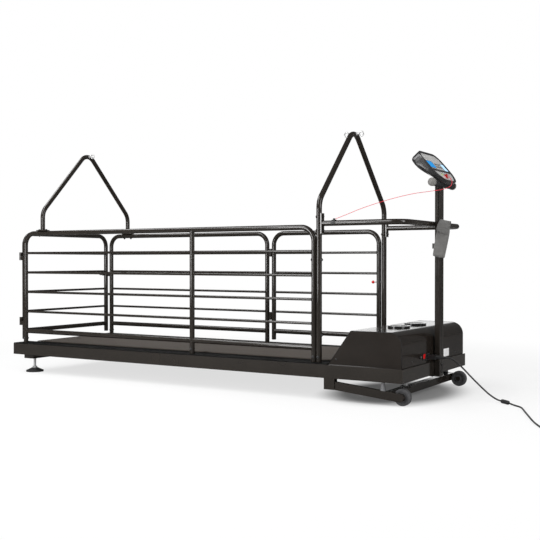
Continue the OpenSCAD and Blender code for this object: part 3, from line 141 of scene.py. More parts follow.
def add(tree, kind, settings=None, **sockets):
    """New node; socket names use _ for a space, and a socket given as a value is linked."""
    node = tree.nodes.new(kind)
    for key, value in (settings or {}).items():
        setattr(node, key, value)
    for key, value in sockets.items():
        plug(tree, node.inputs[key.replace("_", " ")], value)
    return node


def plug(tree, socket, value):
    if isinstance(value, bpy.types.NodeSocket):
        tree.links.new(value, socket)
    else:
        socket.default_value = value


def maths(tree, operation, *values, clamp=False):
    node = add(tree, "ShaderNodeMath", {"operation": operation, "use_clamp": clamp})
    for socket, value in zip(node.inputs, values):
        plug(tree, socket, value)
    return node.outputs[0]


def vector_maths(tree, operation, *values, output="Value"):
    node = add(tree, "ShaderNodeVectorMath", {"operation": operation})
    for socket, value in zip(node.inputs, values):
        plug(tree, socket, value)
    return node.outputs[output]


def mix(tree, share, a, b):
    node = add(tree, "ShaderNodeMix", {"data_type": "RGBA"})
    plug(tree, node.inputs[0], share)
    plug(tree, node.inputs[6], a)
    plug(tree, node.inputs[7], b)
    return node.outputs[2]


def between(tree, value, low, high):
    return add(tree, "ShaderNodeMapRange", Value=value, To_Min=low, To_Max=high).outputs[0]


def eased(tree, value, start, end, low):
    """Value that climbs softly from low at the start to 1 at the end."""
    return add(tree, "ShaderNodeMapRange", {"interpolation_type": "SMOOTHSTEP"}, Value=value, From_Min=start,
               From_Max=end, To_Min=low).outputs[0]


def own_place(tree):
    """Place in the object's own metres."""
    return add(tree, "ShaderNodeTexCoord").outputs["Object"]


def stretched(tree, scale):
    return add(tree, "ShaderNodeMapping", Vector=own_place(tree), Scale=scale).outputs[0]


def noise(tree, place, scale, detail):
    return add(tree, "ShaderNodeTexNoise", Vector=place, Scale=scale, Detail=detail).outputs[0]


def parts(tree, vector):
    return add(tree, "ShaderNodeSeparateXYZ", Vector=vector).outputs


def rgba(value):
    return (*value, 1)


def grey(level):
    return (level, level, level, 1)


NUMBER, COLOUR = "NodeSocketFloat", "NodeSocketColor"


def node_group(name, inputs, outputs):
    tree = bpy.data.node_groups.new(name, "ShaderNodeTree")
    for socket, kind, value in inputs:
        tree.interface.new_socket(socket, in_out="INPUT", socket_type=kind).default_value = value
    for socket, kind in outputs:
        tree.interface.new_socket(socket, in_out="OUTPUT", socket_type=kind)
    return tree, tree.nodes.new("NodeGroupInput").outputs, tree.nodes.new("NodeGroupOutput").inputs


GREY = grey(0.5)


def make_skin():
    """Broad shade changes, fine grain and dust on upward faces."""
    tree, given, made = node_group(
        "skin",
        [("Colour", COLOUR, GREY), ("Tint", COLOUR, GREY), ("Tint Scale", NUMBER, 6),
         ("Grain Scale", NUMBER, 900), ("Rough Low", NUMBER, 0.3), ("Rough High", NUMBER, 0.45),
         ("Dust Colour", COLOUR, GREY), ("Dust", NUMBER, 0)],
        [("Colour", COLOUR), ("Roughness", NUMBER), ("Height", NUMBER)])
    place = own_place(tree)
    broad = noise(tree, place, given["Tint Scale"], 4.0)
    fine = noise(tree, place, given["Grain Scale"], 2.0)
    specks = noise(tree, place, 38.0, 6.0)
    shade = maths(tree, "MULTIPLY_ADD", broad, 2.4, -0.7, clamp=True)
    painted = mix(tree, shade, given["Colour"], given["Tint"])
    facing = parts(tree, add(tree, "ShaderNodeNewGeometry").outputs["Normal"])[2]
    upward = maths(tree, "SMOOTH_MAX", maths(tree, "SUBTRACT", facing, 0.35), 0.0)
    settled = maths(tree, "MULTIPLY", maths(tree, "MULTIPLY", upward, specks), given["Dust"], clamp=True)
    tree.links.new(mix(tree, settled, painted, given["Dust Colour"]), made["Colour"])
    worn = maths(tree, "ADD", maths(tree, "MULTIPLY", shade, 0.65), maths(tree, "MULTIPLY", fine, 0.35))
    rough = between(tree, worn, given["Rough Low"], given["Rough High"])
    tree.links.new(maths(tree, "ADD", rough, maths(tree, "MULTIPLY", settled, 0.3)), made["Roughness"])
    tree.links.new(fine, made["Height"])


def make_edge_wear():
    """Paler, patchy paint along edges."""
    tree, given, made = node_group(
        "edge_wear",
        [("Colour", COLOUR, GREY), ("Worn Colour", COLOUR, GREY), ("Reach", NUMBER, 0.002),
         ("Wear", NUMBER, 0.5)],
        [("Colour", COLOUR)])
    soft = add(tree, "ShaderNodeBevel", {"samples": 4}, Radius=given["Reach"]).outputs[0]
    true = add(tree, "ShaderNodeNewGeometry").outputs["Normal"]
    turn = vector_maths(tree, "DOT_PRODUCT", soft, true)
    edge = maths(tree, "MULTIPLY", maths(tree, "SUBTRACT", 1.0, turn), 5.0, clamp=True)
    patch = noise(tree, own_place(tree), 45.0, 5.0)
    mask = maths(tree, "MULTIPLY", maths(tree, "MULTIPLY", edge, patch), given["Wear"], clamp=True)
    tree.links.new(mix(tree, mask, given["Colour"], given["Worn Colour"]), made["Colour"])


def make_weave():
    """Plain weave of two thread colours."""
    tree, given, made = node_group(
        "weave",
        [("Warp", COLOUR, GREY), ("Weft", COLOUR, GREY), ("Threads", NUMBER, 700)],
        [("Colour", COLOUR), ("Height", NUMBER)])
    place = own_place(tree)
    x, y, z = parts(tree, place)
    turns = maths(tree, "MULTIPLY", given["Threads"], 2 * math.pi)
    across = maths(tree, "SINE", maths(tree, "MULTIPLY", maths(tree, "ADD", x, y), turns))
    along = maths(tree, "SINE", maths(tree, "MULTIPLY", z, turns))
    over = maths(tree, "MULTIPLY", across, along)
    height = maths(tree, "MULTIPLY_ADD", over, 0.5, 0.5)
    fuzz = noise(tree, place, 55.0, 5.0)
    share = maths(tree, "MULTIPLY", maths(tree, "ADD", height, fuzz), 0.5)
    tree.links.new(mix(tree, share, given["Warp"], given["Weft"]), made["Colour"])
    tree.links.new(height, made["Height"])


def make_brushed():
    """Fine lines of turned or drawn metal, stretched along one way."""
    tree, given, made = node_group(
        "brushed",
        [("Lines", NUMBER, 600), ("Rough Low", NUMBER, 0.18), ("Rough High", NUMBER, 0.38)],
        [("Roughness", NUMBER), ("Height", NUMBER)])
    lines = noise(tree, stretched(tree, (1.0, 0.06, 1.0)), given["Lines"], 3.0)
    tree.links.new(between(tree, lines, given["Rough Low"], given["Rough High"]), made["Roughness"])
    tree.links.new(lines, made["Height"])


class Finish:
    """One material: its Principled shader and the groups that feed it."""

    def __init__(self, name, **shader):
        if name in bpy.data.materials:
            raise RuntimeError(f"{name} is the name of another material")
        material = bpy.data.materials.new(name)
        material.use_nodes = True
        self.tree = material.node_tree
        self.tree.nodes.clear()
        self.shader = add(self.tree, "ShaderNodeBsdfPrincipled", **shader)
        output = add(self.tree, "ShaderNodeOutputMaterial")
        self.tree.links.new(self.shader.outputs[0], output.inputs["Surface"])

    def group(self, name, **sockets):
        return add(self.tree, "ShaderNodeGroup", {"node_tree": bpy.data.node_groups[name]}, **sockets).outputs

    def feed(self, socket, value):
        plug(self.tree, self.shader.inputs[socket], value)

    def bump(self, height, distance):
        bump = add(self.tree, "ShaderNodeBump", Height=height, Distance=distance, Strength=1.0)
        self.feed("Normal", bump.outputs[0])


DUST = (0.16, 0.15, 0.14, 1)


def skin_finish(name, base, tint, rough, grain=900, depth=0.00004, tint_scale=6, dust=0.0, wear=0.0,
                worn=None, **shader):
    """Paint, plastic or rubber: base and tint colours, roughness range, grain, dust and worn edges."""
    finish = Finish(name, **shader)
    skin = finish.group("skin", Colour=rgba(base), Tint=rgba(tint), Tint_Scale=tint_scale, Grain_Scale=grain,
                        Rough_Low=rough[0], Rough_High=rough[1], Dust_Colour=DUST, Dust=dust)
    surface = skin["Colour"]
    if wear:
        surface = finish.group("edge_wear", Colour=surface, Worn_Colour=rgba(worn), Reach=0.0025,
                               Wear=wear)["Colour"]
    finish.feed("Base Color", surface)
    finish.feed("Roughness", skin["Roughness"])
    finish.bump(skin["Height"], depth)


def lighter(base, by):
    return tuple(min(1.0, part * by) for part in base)


def metal_finish(name, base, lines, rough):
    finish = Finish(name, Base_Color=rgba(base), Metallic=0.55)
    brushed = finish.group("brushed", Lines=lines, Rough_Low=rough[0], Rough_High=rough[1])
    finish.feed("Roughness", brushed["Roughness"])
    finish.bump(brushed["Height"], 0.00002)


def cloth_finish(name, base, threads, depth):
    finish = Finish(name, Roughness=0.9, Sheen_Weight=0.25, Sheen_Roughness=0.6, Specular_IOR_Level=0.2)
    weave = finish.group("weave", Warp=rgba(lighter(base, 0.72)), Weft=rgba(lighter(base, 1.3)),
                         Threads=threads)
    finish.feed("Base Color", weave["Colour"])
    finish.bump(weave["Height"], depth)


def belt_finish(base):
    """Belt with a fine grain and paler scuffs drawn out along it."""
    finish = Finish("belt_cloth", Specular_IOR_Level=0.3)
    tree = finish.tree
    skin = finish.group("skin", Colour=rgba(base), Tint=rgba(lighter(base, 1.25)), Tint_Scale=3.0,
                        Grain_Scale=1400.0, Rough_Low=0.55, Rough_High=0.75, Dust_Colour=DUST, Dust=0.35)
    scuffs = noise(tree, stretched(tree, (0.8, 14.0, 1.0)), 4.0, 6.0)
    streaks = maths(tree, "MULTIPLY", maths(tree, "POWER", scuffs, 3.0), 0.9, clamp=True)
    finish.feed("Base Color", mix(tree, streaks, skin["Colour"], rgba(lighter(base, 2.0))))
    finish.feed("Roughness", skin["Roughness"])
    finish.bump(skin["Height"], 0.00012)


def screen_finish(name, base):
    """Lit liquid-crystal glass with faint rows behind it."""
    finish = Finish(name, Roughness=0.1, Specular_IOR_Level=0.2, Emission_Strength=0.8)
    tree = finish.tree
    pitch = 2400.0
    _, y, z = parts(tree, own_place(tree))
    rows = maths(tree, "SINE", maths(tree, "MULTIPLY", z, pitch))
    columns = maths(tree, "SINE", maths(tree, "MULTIPLY", y, pitch))
    cells = maths(tree, "MULTIPLY", maths(tree, "MAXIMUM", rows, columns), 0.12, clamp=True)
    glow = mix(tree, cells, rgba(base), rgba(lighter(base, 0.5)))
    finish.feed("Base Color", glow)
    finish.feed("Emission Color", glow)


# Its dark base colour is painted shade for the gap beside the belt.
def wood_finish(base):
    finish = Finish("deck_wood", Specular_IOR_Level=0.3)
    tree = finish.tree
    grain = noise(tree, stretched(tree, (0.1, 1.0, 6.0)), 60.0, 6.0)
    finish.feed("Base Color", mix(tree, grain, rgba(lighter(base, 0.6)), rgba(lighter(base, 1.3))))
    finish.feed("Roughness", between(tree, grain, 0.5, 0.75))
    finish.bump(grain, 0.0001)


def make_finishes(tint):
    """All the materials of the pieces and the solid model."""
    for make in (make_skin, make_edge_wear, make_weave, make_brushed):
        make()
    skin_finish("frame_enamel", tint.paint, lighter(tint.paint, 1.3), (0.1, 0.16), 260, 0.000002,
                Specular_IOR_Level=0.5)
    skin_finish("hood_enamel", tint.hood, lighter(tint.hood, 1.4), (0.1, 0.18), 260, 0.000002, 4,
                Specular_IOR_Level=0.3)
    skin_finish("strip_plastic", tint.strip, lighter(tint.strip, 1.5), (0.5, 0.65), 1600, 0.00003, dust=0.02,
                Specular_IOR_Level=0.02)
    skin_finish("gloss_black", tint.plastic, lighter(tint.plastic, 0.7), (0.06, 0.14), 1200, 0.00001,
                Specular_IOR_Level=0.5)
    skin_finish("bumper_rubber", tint.bumper, lighter(tint.bumper, 0.8), (0.6, 0.75), 1500, 0.0001)
    skin_finish("tyre_rubber", lighter(tint.rubber, 2.2), lighter(tint.rubber, 2.9), (0.6, 0.8), 1500, 0.00012,
                dust=0.25, wear=0.4, worn=(0.09, 0.09, 0.09), Specular_IOR_Level=0.3)
    skin_finish("foam", tint.rubber, lighter(tint.rubber, 0.7), (0.75, 0.9), 2200, 0.00035,
                Specular_IOR_Level=0.25)
    skin_finish("black_plastic", tint.plastic, lighter(tint.plastic, 1.3), (0.38, 0.5), 2400, 0.00006,
                dust=0.1, wear=0.3, worn=(0.07, 0.07, 0.07), Specular_IOR_Level=0.4)
    skin_finish("console_plastic", tint.plastic, lighter(tint.plastic, 1.5), (0.22, 0.32), 600, 0.000002,
                Specular_IOR_Level=0.5)
    skin_finish("red_plastic", tint.red, lighter(tint.red, 0.75), (0.2, 0.32), 1500, 0.00002)
    skin_finish("grey_plastic", tint.grey, lighter(tint.grey, 0.85), (0.45, 0.58), 2000, 0.00006)
    skin_finish("face_gloss", tint.face, lighter(tint.face, 0.85), (0.1, 0.2), 700, 0.000002, 14)
    skin_finish("motor_iron", tint.iron, (0.07, 0.068, 0.066), (0.45, 0.65), 700, 0.00015, 20,
                dust=0.3)
    skin_finish("board_green", tint.board, lighter(tint.board, 0.6), (0.4, 0.6), 500, 0.0001, 60)
    skin_finish("cord_vinyl", tint.vinyl, (0.03, 0.03, 0.031), (0.36, 0.5), 1700, 0.00004,
                dust=0.2, Specular_IOR_Level=0.4)
    skin_finish("label_white", tint.label, lighter(tint.label, 0.94), (0.4, 0.55), 900, 0.00002, 30)
    metal_finish("brushed_steel", tint.steel, 700.0, (0.2, 0.4))
    metal_finish("bright_steel", lighter(tint.steel, 1.2), 900.0, (0.08, 0.2))
    cloth_finish("pouch_cloth", tint.cloth, 620.0, 0.00022)
    cloth_finish("flap_cloth", lighter(tint.cloth, 0.78), 620.0, 0.00022)
    cloth_finish("webbing", lighter(tint.cloth, 0.6), 480.0, 0.0003)
    cloth_finish("thread", lighter(tint.cloth, 1.7), 2400.0, 0.0001)
    cloth_finish("lanyard_braid", tint.lanyard, 900.0, 0.0003)
    belt_finish(tint.belt)
    screen_finish("screen_near", tint.screen)
    screen_finish("screen_far", tint.screen_far)
    wood_finish(tint.deck)
    skin_finish("lamp_green", tint.ready, (0.4, 0.6, 0.08), (0.15, 0.25))


# Mesh helpers

def point(x, y, z):
    """A place given in millimetres."""
    return Vector((x, y, z)) * MM


def spline(points, steps):
    """Smooth curve through given points."""
    out = []
    last = len(points) - 1
    for i in range(last):
        a, b, c, d = points[max(i - 1, 0)], points[i], points[i + 1], points[min(i + 2, last)]
        for k in range(steps):
            t = k / steps
            out.append(0.5 * (2 * b + (c - a) * t + (2 * a - 5 * b + 4 * c - d) * t * t
                              + (3 * b - a - 3 * c + d) * t * t * t))
    return out + [points[last]]


def new_piece(name, verts, faces, material, body, smooth=True):
    """Mesh piece that rides on a body."""
    mesh = bpy.data.meshes.new(name)
    mesh.from_pydata([tuple(v) for v in verts], [], faces)
    shell = bmesh.new()
    shell.from_mesh(mesh)
    bmesh.ops.recalc_face_normals(shell, faces=shell.faces)
    shell.to_mesh(mesh)
    shell.free()
    mesh.polygons.foreach_set("use_smooth", [smooth] * len(mesh.polygons))
    mesh.materials.append(bpy.data.materials[material])
    piece = bpy.data.objects.new(name, mesh)
    bpy.context.scene.collection.objects.link(piece)
    if body:
        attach(piece, body)
    return piece


class Shape:
    """Vertices and faces of several closed forms in one mesh."""

    def __init__(self):
        self.verts = []
        self.faces = []

    def rings(self, rings, closed=False):
        """Skin over rings of equal count; open runs get flat ends."""
        start, sides, count = len(self.verts), len(rings[0]), len(rings)
        for ring in rings:
            self.verts.extend(ring)
        for i in range(count if closed else count - 1):
            j = (i + 1) % count
            for k in range(sides):
                n = (k + 1) % sides
                self.faces.append((start + i * sides + k, start + j * sides + k,
                                   start + j * sides + n, start + i * sides + n))
        if not closed:
            self.faces.append(tuple(start + k for k in range(sides)))
            self.faces.append(tuple(start + (count - 1) * sides + k for k in reversed(range(sides))))

    def tube(self, points, radius, sides=8, hub=None):
        """Round tube along points; a closed one is given the hub that it goes round."""
        closed = hub is not None
        count = len(points)
        side = None
        rings = []
        for i, here in enumerate(points):
            before = points[i - 1] if closed or i else here
            after = points[(i + 1) % count] if closed or i < count - 1 else here
            way = (after - before).normalized()
            if closed:
                side = here - hub
            elif side is None:
                side = way.orthogonal()
            side = (side - way * side.dot(way)).normalized()
            third = way.cross(side)
            r = radius(i / count) if callable(radius) else radius
            rings.append([here + r * (math.cos(a) * side + math.sin(a) * third)
                          for a in (2 * math.pi * k / sides for k in range(sides))])
        self.rings(rings, closed)

    def lathe(self, centre, axis, outline, sides=24):
        """Outline of (radius, distance) pairs turned about an axis."""
        axis = axis.normalized()
        a = axis.orthogonal().normalized()
        b = axis.cross(a)
        self.rings([[centre + axis * d + r * (math.cos(t) * a + math.sin(t) * b)
                     for t in (2 * math.pi * k / sides for k in range(sides))] for r, d in outline])

    def slab(self, place, outline, low, high, crown=0.0, edge=0.0):
        """Plate from an outline of (u, v), between two heights, with a rounded top edge."""
        n = len(outline)
        mid_u = sum(u for u, v in outline) / n
        mid_v = sum(v for u, v in outline) / n
        reach = max(math.hypot(u - mid_u, v - mid_v) for u, v in outline)

        def ring(inset, height):
            out = []
            for u, v in outline:
                du, dv = mid_u - u, mid_v - v
                far = math.hypot(du, dv)
                out.append(place(u + du / far * inset, v + dv / far * inset, height))
            return out

        steps = [(0, low), (0, high - edge)]
        steps += [(edge * (1 - math.cos(a)), high - edge + edge * math.sin(a))
                  for a in (math.radians(30), math.radians(60), math.radians(90))] if edge else []
        steps += [(edge + (reach - edge) * s, high + crown * math.sin(math.radians(90 * s)))
                  for s in (0.3, 0.6)] if crown else []
        self.rings([ring(inset, height) for inset, height in steps])

    def piece(self, name, material, body, slot, smooth=True):
        return new_piece(name, self.verts, self.faces, material, body, smooth)


def rounded_outline(u0, u1, v0, v1, r, steps=5, far_r=None):
    """Corners of a rounded rectangle, with its own radius at the far end of u if given."""
    q = r if far_r is None else far_r
    out = []
    for cu, cv, turn_r, start in ((u1 - q, v1 - q, q, 0), (u0 + r, v1 - r, r, 90), (u0 + r, v0 + r, r, 180),
                                  (u1 - q, v0 + q, q, 270)):
        for k in range(steps + 1):
            a = math.radians(start + 90 * k / steps)
            out.append((cu + turn_r * math.cos(a), cv + turn_r * math.sin(a)))
    return out


# Stage

class TREADMILL_OT_stage(bpy.types.Operator):
    """Camera, lamps, surroundings and floor"""

    bl_idname = "treadmill.stage"
    bl_label = "Stage"

    def execute(self, context):
        scene = context.scene
        stage = scene.treadmill_stage
        self.camera(scene, stage)
        self.lamp("key_lamp", (-1.6, -4.6, 3.9), (0.0, 0.0, 0.5), (3.2, 2.4), stage.key)
        self.lamp("fill_lamp", (4.8, -1.4, 2.6), (0.7, 0.0, 0.5), (2.0, 2.6), stage.fill)
        self.lamp("top_lamp", (-2.0, -1.6, 4.0), (-0.2, 0.0, 0.3), (4.4, 0.8), stage.top)
        self.lamp("strip_lamp", (-0.62, -2.9, 0.8), (0.6, 0.0, 0.75), (0.8, 0.9), stage.strip)
        self.lamp("side_lamp", (3.7, -1.0, 1.0), (0.9, 0.0, 0.8), (0.5, 1.8), stage.strip / 3)
        self.lamp("back_lamp", (-2.2, 5.0, 0.8), (-0.6, 0.0, 0.3), (6.4, 1.2), stage.back)
        self.surroundings(scene, stage)
        self.floor()
        scene.view_settings.view_transform = "Standard"
        return {"FINISHED"}

    def camera(self, scene, stage):
        data = bpy.data.cameras.new("camera")
        data.lens = stage.lens
        data.sensor_width = 36
        camera = bpy.data.objects.new("camera", data)
        camera.location = (2.6153, -3.8875, 0.6248)
        camera.rotation_euler = (math.radians(90 - 0.61), 0, math.radians(31.42))
        scene.collection.objects.link(camera)
        scene.camera = camera

    def lamp(self, name, place, aim, size, power):
        data = bpy.data.lights.new(name, "AREA")
        data.shape = "RECTANGLE"
        data.size, data.size_y = size
        data.energy = power
        lamp = bpy.data.objects.new(name, data)
        lamp.location = place
        lamp.visible_camera = False
        lamp.rotation_euler = (Vector(aim) - Vector(place)).to_track_quat("-Z", "Y").to_euler()
        bpy.context.scene.collection.objects.link(lamp)

    def surroundings(self, scene, stage):
        world = bpy.data.worlds.new("surroundings")
        world.use_nodes = True
        tree = world.node_tree
        tree.nodes.clear()
        path = add(tree, "ShaderNodeLightPath").outputs
        mirrored = between(tree, path["Is Glossy Ray"], stage.world, stage.mirror)
        strength = between(tree, path["Is Camera Ray"], mirrored, 1.0)
        light = add(tree, "ShaderNodeBackground", Color=(1, 1, 1, 1), Strength=strength)
        output = add(tree, "ShaderNodeOutputWorld")
        tree.links.new(light.outputs[0], output.inputs["Surface"])
        scene.world = world

    def floor(self):
        """White floor that keeps the object's shadow and fades into the surroundings."""
        half = 14
        corners = [(-half, -half, 0), (half, -half, 0), (half, half, 0), (-half, half, 0)]
        mesh = bpy.data.meshes.new("floor")
        mesh.from_pydata(corners, [], [(0, 1, 2, 3)])
        mesh.materials.append(self.floor_white())
        floor = bpy.data.objects.new("floor", mesh)
        bpy.context.scene.collection.objects.link(floor)

    def floor_white(self):
        """Matt floor with painted shade below the motor end, that turns to plain white with distance."""
        material = bpy.data.materials.new("floor_white")
        material.use_nodes = True
        tree = material.node_tree
        tree.nodes.clear()
        place = own_place(tree)
        fade = eased(tree, vector_maths(tree, "LENGTH", place), 1.3, 3.2, 0.7)
        near = vector_maths(tree, "MULTIPLY_ADD", place, (3.4, 2.4, 0), (-3.2, 0, 0), output="Vector")
        # Mask below the motor end: less plain white is mixed in there, so the real shadow shows, and the matt
        # colour is darkened as painted shade.
        under = eased(tree, vector_maths(tree, "LENGTH", near), 0.7, 1.25, 0.12)
        path = add(tree, "ShaderNodeLightPath").outputs
        seen = maths(tree, "MULTIPLY", path["Is Camera Ray"], maths(tree, "MULTIPLY", under, fade))
        # Painted shade: the floor's own colour is made darker below the motor end.
        shade = mix(tree, under, grey(0.25), grey(0.85))
        matt = add(tree, "ShaderNodeBsdfDiffuse", Color=mix(tree, path["Is Glossy Ray"], shade, grey(0.22)))
        white = add(tree, "ShaderNodeEmission", Color=(1, 1, 1, 1), Strength=1.0)
        both = add(tree, "ShaderNodeMixShader", Fac=seen)
        tree.links.new(matt.outputs[0], both.inputs[1])
        tree.links.new(white.outputs[0], both.inputs[2])
        output = add(tree, "ShaderNodeOutputMaterial")
        tree.links.new(both.outputs[0], output.inputs["Surface"])
        return material


# Cords

CORD_R, LEAD_Z, CORE_R = 3.6, 3.7, 9
CORE_A, CORE_B = (1470, -61.7, CORE_R), (1506, -91.7, CORE_R)
COIL = {"x": 1850, "y": -600, "r": 46, "turns": 4, "step": 8, "start": math.radians(220)}
COIL_AWAY = Vector((-math.sin(COIL["start"]), math.cos(COIL["start"]), 0))
COIL_END = Vector((COIL["x"] + COIL["r"] * math.cos(COIL["start"]),
                   COIL["y"] + COIL["r"] * math.sin(COIL["start"]), CORD_R + COIL["step"]))
LEAD_ROUTE = [
    (1224, -92, 188), (1240, -92, 187), (1262, -91, 178), (1298, -87, 148), (1334, -79, 110), (1370, -67, 72),
    (1402, -55.5, 40), (1424, -49, 22.5), (1443, -48, 12.4), (1458, -52.6, CORE_R), CORE_A,
    (1488, -76.7, CORE_R), CORE_B, (1524, -106, 6.4), (1546, -121, LEAD_Z + 0.4), (1568, -140, LEAD_Z),
    (1586, -168, LEAD_Z),
    (1602, -204, LEAD_Z), (1622, -252, LEAD_Z), (1658, -336, LEAD_Z), (1712, -460, LEAD_Z),
    (1760, -552, LEAD_Z), (1788, -597, LEAD_Z), (COIL_END.x, COIL_END.y, LEAD_Z)]


def coil_points(per_turn=48):
    """Two flat layers of turns, in from the outside and out again, and the tail to the plug."""
    out = []
    half = COIL["turns"] / 2
    for i in range(per_turn * COIL["turns"] + 1):
        t = i / per_turn
        r = COIL["r"] - COIL["step"] * (half - abs(t - half))
        rise = min(max((t - half + 0.25) * 2, 0), 1)
        a = 2 * math.pi * t + COIL["start"]
        out.append(Vector((COIL["x"] + r * math.cos(a), COIL["y"] + r * math.sin(a),
                           CORD_R + COIL["step"] * rise)))
    out += [COIL_END + run * COIL_AWAY + Vector((0, 0, lift))
            for run, lift in ((14, 0.8), (26, 2.6), (38, 3.4), (50, 3.4))]
    return out


class TREADMILL_OT_mains_lead(bpy.types.Operator):
    """Mains lead with its ribbed sleeve, coil, tie and the lips of its core"""

    bl_idname = "treadmill.mains_lead"
    bl_label = "Mains lead"

    def execute(self, context):
        route = spline([Vector(p) for p in LEAD_ROUTE], 6)
        points = [p * MM for p in route[:-1] + coil_points()]
        curve = bpy.data.curves.new("mains_lead", "CURVE")
        curve.dimensions = "3D"
        curve.bevel_depth = context.scene.treadmill_sizes.lead / 2
        curve.bevel_resolution = 3
        curve.use_fill_caps = True
        line = curve.splines.new("POLY")
        line.points.add(len(points) - 1)
        for slot, place in zip(line.points, points):
            slot.co = (*place, 1)
        curve.materials.append(bpy.data.materials["cord_vinyl"])
        lead = bpy.data.objects.new("mains_lead", curve)
        context.scene.collection.objects.link(lead)
        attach(lead, "frame")
        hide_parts("mains_cord", "cord_coil")
        extras = [self.sleeve(), self.tie(), self.core_lips()]
        return {"FINISHED"}

    def sleeve(self):
        """Ribs of the tapered sleeve where the lead leaves its connector."""
        ribs = Shape()
        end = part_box("cord_connector")[1][0]
        _, y, z = Vector(LEAD_ROUTE[0]) * MM
        count = 6
        for k in range(count):
            t = k / count
            x = end - 0.003 - 0.036 * t
            r = (5.3 + 3.1 * t) * MM
            ribs.lathe(Vector((x, y, z)), Vector((1, 0, 0)),
                       [(r, -0.0016), (r + 0.0008, -0.001), (r + 0.0008, 0.001), (r, 0.0016)], 20)
        return ribs.piece("lead_sleeve_ribs", "cord_vinyl", "frame", "cord")

    def tie(self):
        """Hook-and-loop tie round the coil's turns."""
        tie = Shape()
        a = math.radians(40)
        out = Vector((math.cos(a), math.sin(a), 0))
        along = Vector((-math.sin(a), math.cos(a), 0))
        mid = Vector((COIL["x"], COIL["y"], 0))
        inner, outer, low, high, half = 24.5, 51.0, 0.3, 16.6, 7
        section = rounded_outline(inner, outer, low, high, 3.2, 4)
        core = rounded_outline(inner + 1.2, outer - 1.2, low + 0.1, high - 1.2, 2.2, 4)
        rings = []
        for outline, shift in ((core, -half), (section, -half), (section, half), (core, half)):
            rings.append([(mid + out * u + along * shift + UP * v) * MM for u, v in outline])
        tie.rings(rings, closed=True)
        return tie.piece("coil_tie", "webbing", "frame", "cloth")

    def core_lips(self):
        """Clip halves' lips at the ends of the core on the lead."""
        lips = Shape()
        a, b = Vector(CORE_A) * MM, Vector(CORE_B) * MM
        way = (b - a).normalized()
        for end, sense in ((a, -1), (b, 1)):
            lips.lathe(end, way * sense, [(0.0042, 0.0), (0.0072, 0.0), (0.0072, 0.0016),
                                          (0.0062, 0.0026), (0.0042, 0.0026)], 20)
        return lips.piece("core_lips", "black_plastic", "frame", "cord")


LANYARD_ROUTE = [
    (1198, -12.8, 1016.6), (1208, -15, 1008), (1220, -18, 994), (1225, -22, 978), (1220, -29, 964),
    (1204, -42, 953), (1180, -62, 946), (1140, -96, 938), (1080, -146, 926), (1000, -214, 900),
    (910, -287, 863), (846, -335, 831), (800, -357, 811)]
# Points of the smooth route where the crimp sits and where the pull of the key ends and starts
CRIMP_AT, CRIMP_TO, PULL_END, PULL_START = 4, 6, 12, 24


class TREADMILL_OT_lanyard(bpy.types.Operator):
    """Red lanyard from the safety key to its clip, with a crimp"""

    bl_idname = "treadmill.lanyard"
    bl_label = "Lanyard"

    def execute(self, context):
        radius = context.scene.treadmill_sizes.lanyard / 2
        route = [p * MM for p in spline([Vector(p) for p in LANYARD_ROUTE], 6)]
        cord = Shape()
        cord.tube(route, radius, 10)
        lanyard = cord.piece("key_lanyard", "lanyard_braid", None, "red_cord")
        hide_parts("lanyard")
        crimp = Shape()
        near = route[CRIMP_AT]
        crimp.lathe(near, route[CRIMP_TO] - near,
                    [(0.0012, -0.004), (0.0021, -0.0035), (0.0021, 0.0035), (0.0012, 0.004)], 14)
        clamp = crimp.piece("lanyard_crimp", "bright_steel", "safety_key", "steel")
        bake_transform(lanyard)
        return {"FINISHED"}


# Solid model's finishes

SLOT_FINISH = {
    "frame_paint": "frame_enamel", "hood_paint": "hood_enamel", "strip": "strip_plastic", "belt": "belt_cloth",
    "deck": "deck_wood", "rubber": "tyre_rubber", "steel": "brushed_steel", "motor": "motor_iron",
    "board": "board_green", "plastic": "black_plastic", "console": "console_plastic", "red": "red_plastic",
    "red_cord": "lanyard_braid", "grey": "grey_plastic", "face": "face_gloss", "screen": "screen_near",
    "cloth": "pouch_cloth", "cord": "cord_vinyl"}
NODE_FINISH = {
    "console_grip": "foam", "hood_vents": "gloss_black", "incline_bumpers": "bumper_rubber",
    "fasteners": "black_plastic"}
CONE_TOP = 0.0225
# Width in millimetres of each node's rounded edges
EDGES = {
    "base_frame": 2.0, "mast": 6.0, "motor_hood": 2.0, "landing_strips": 0.6, "rail_end_caps": 1.0,
    "incline_frame": 1.5, "console_face": 0.5, "switch_bezel": 0.6, "power_switch": 0.5,
    "power_inlet": 0.6, "cord_connector": 1.6, "safety_key": 0.8, "hood_vents": 1.2, "mains_plug": 1.2,
    "ferrite_core": 1.2, "foot_near": 0.8, "foot_far": 0.8, "lanyard_clip": 0.6, "hinge_pins": 0.5,
    "handrail": 0.5, "breaker_button": 0.6, "wheel_near": 0.8, "wheel_far": 0.8}


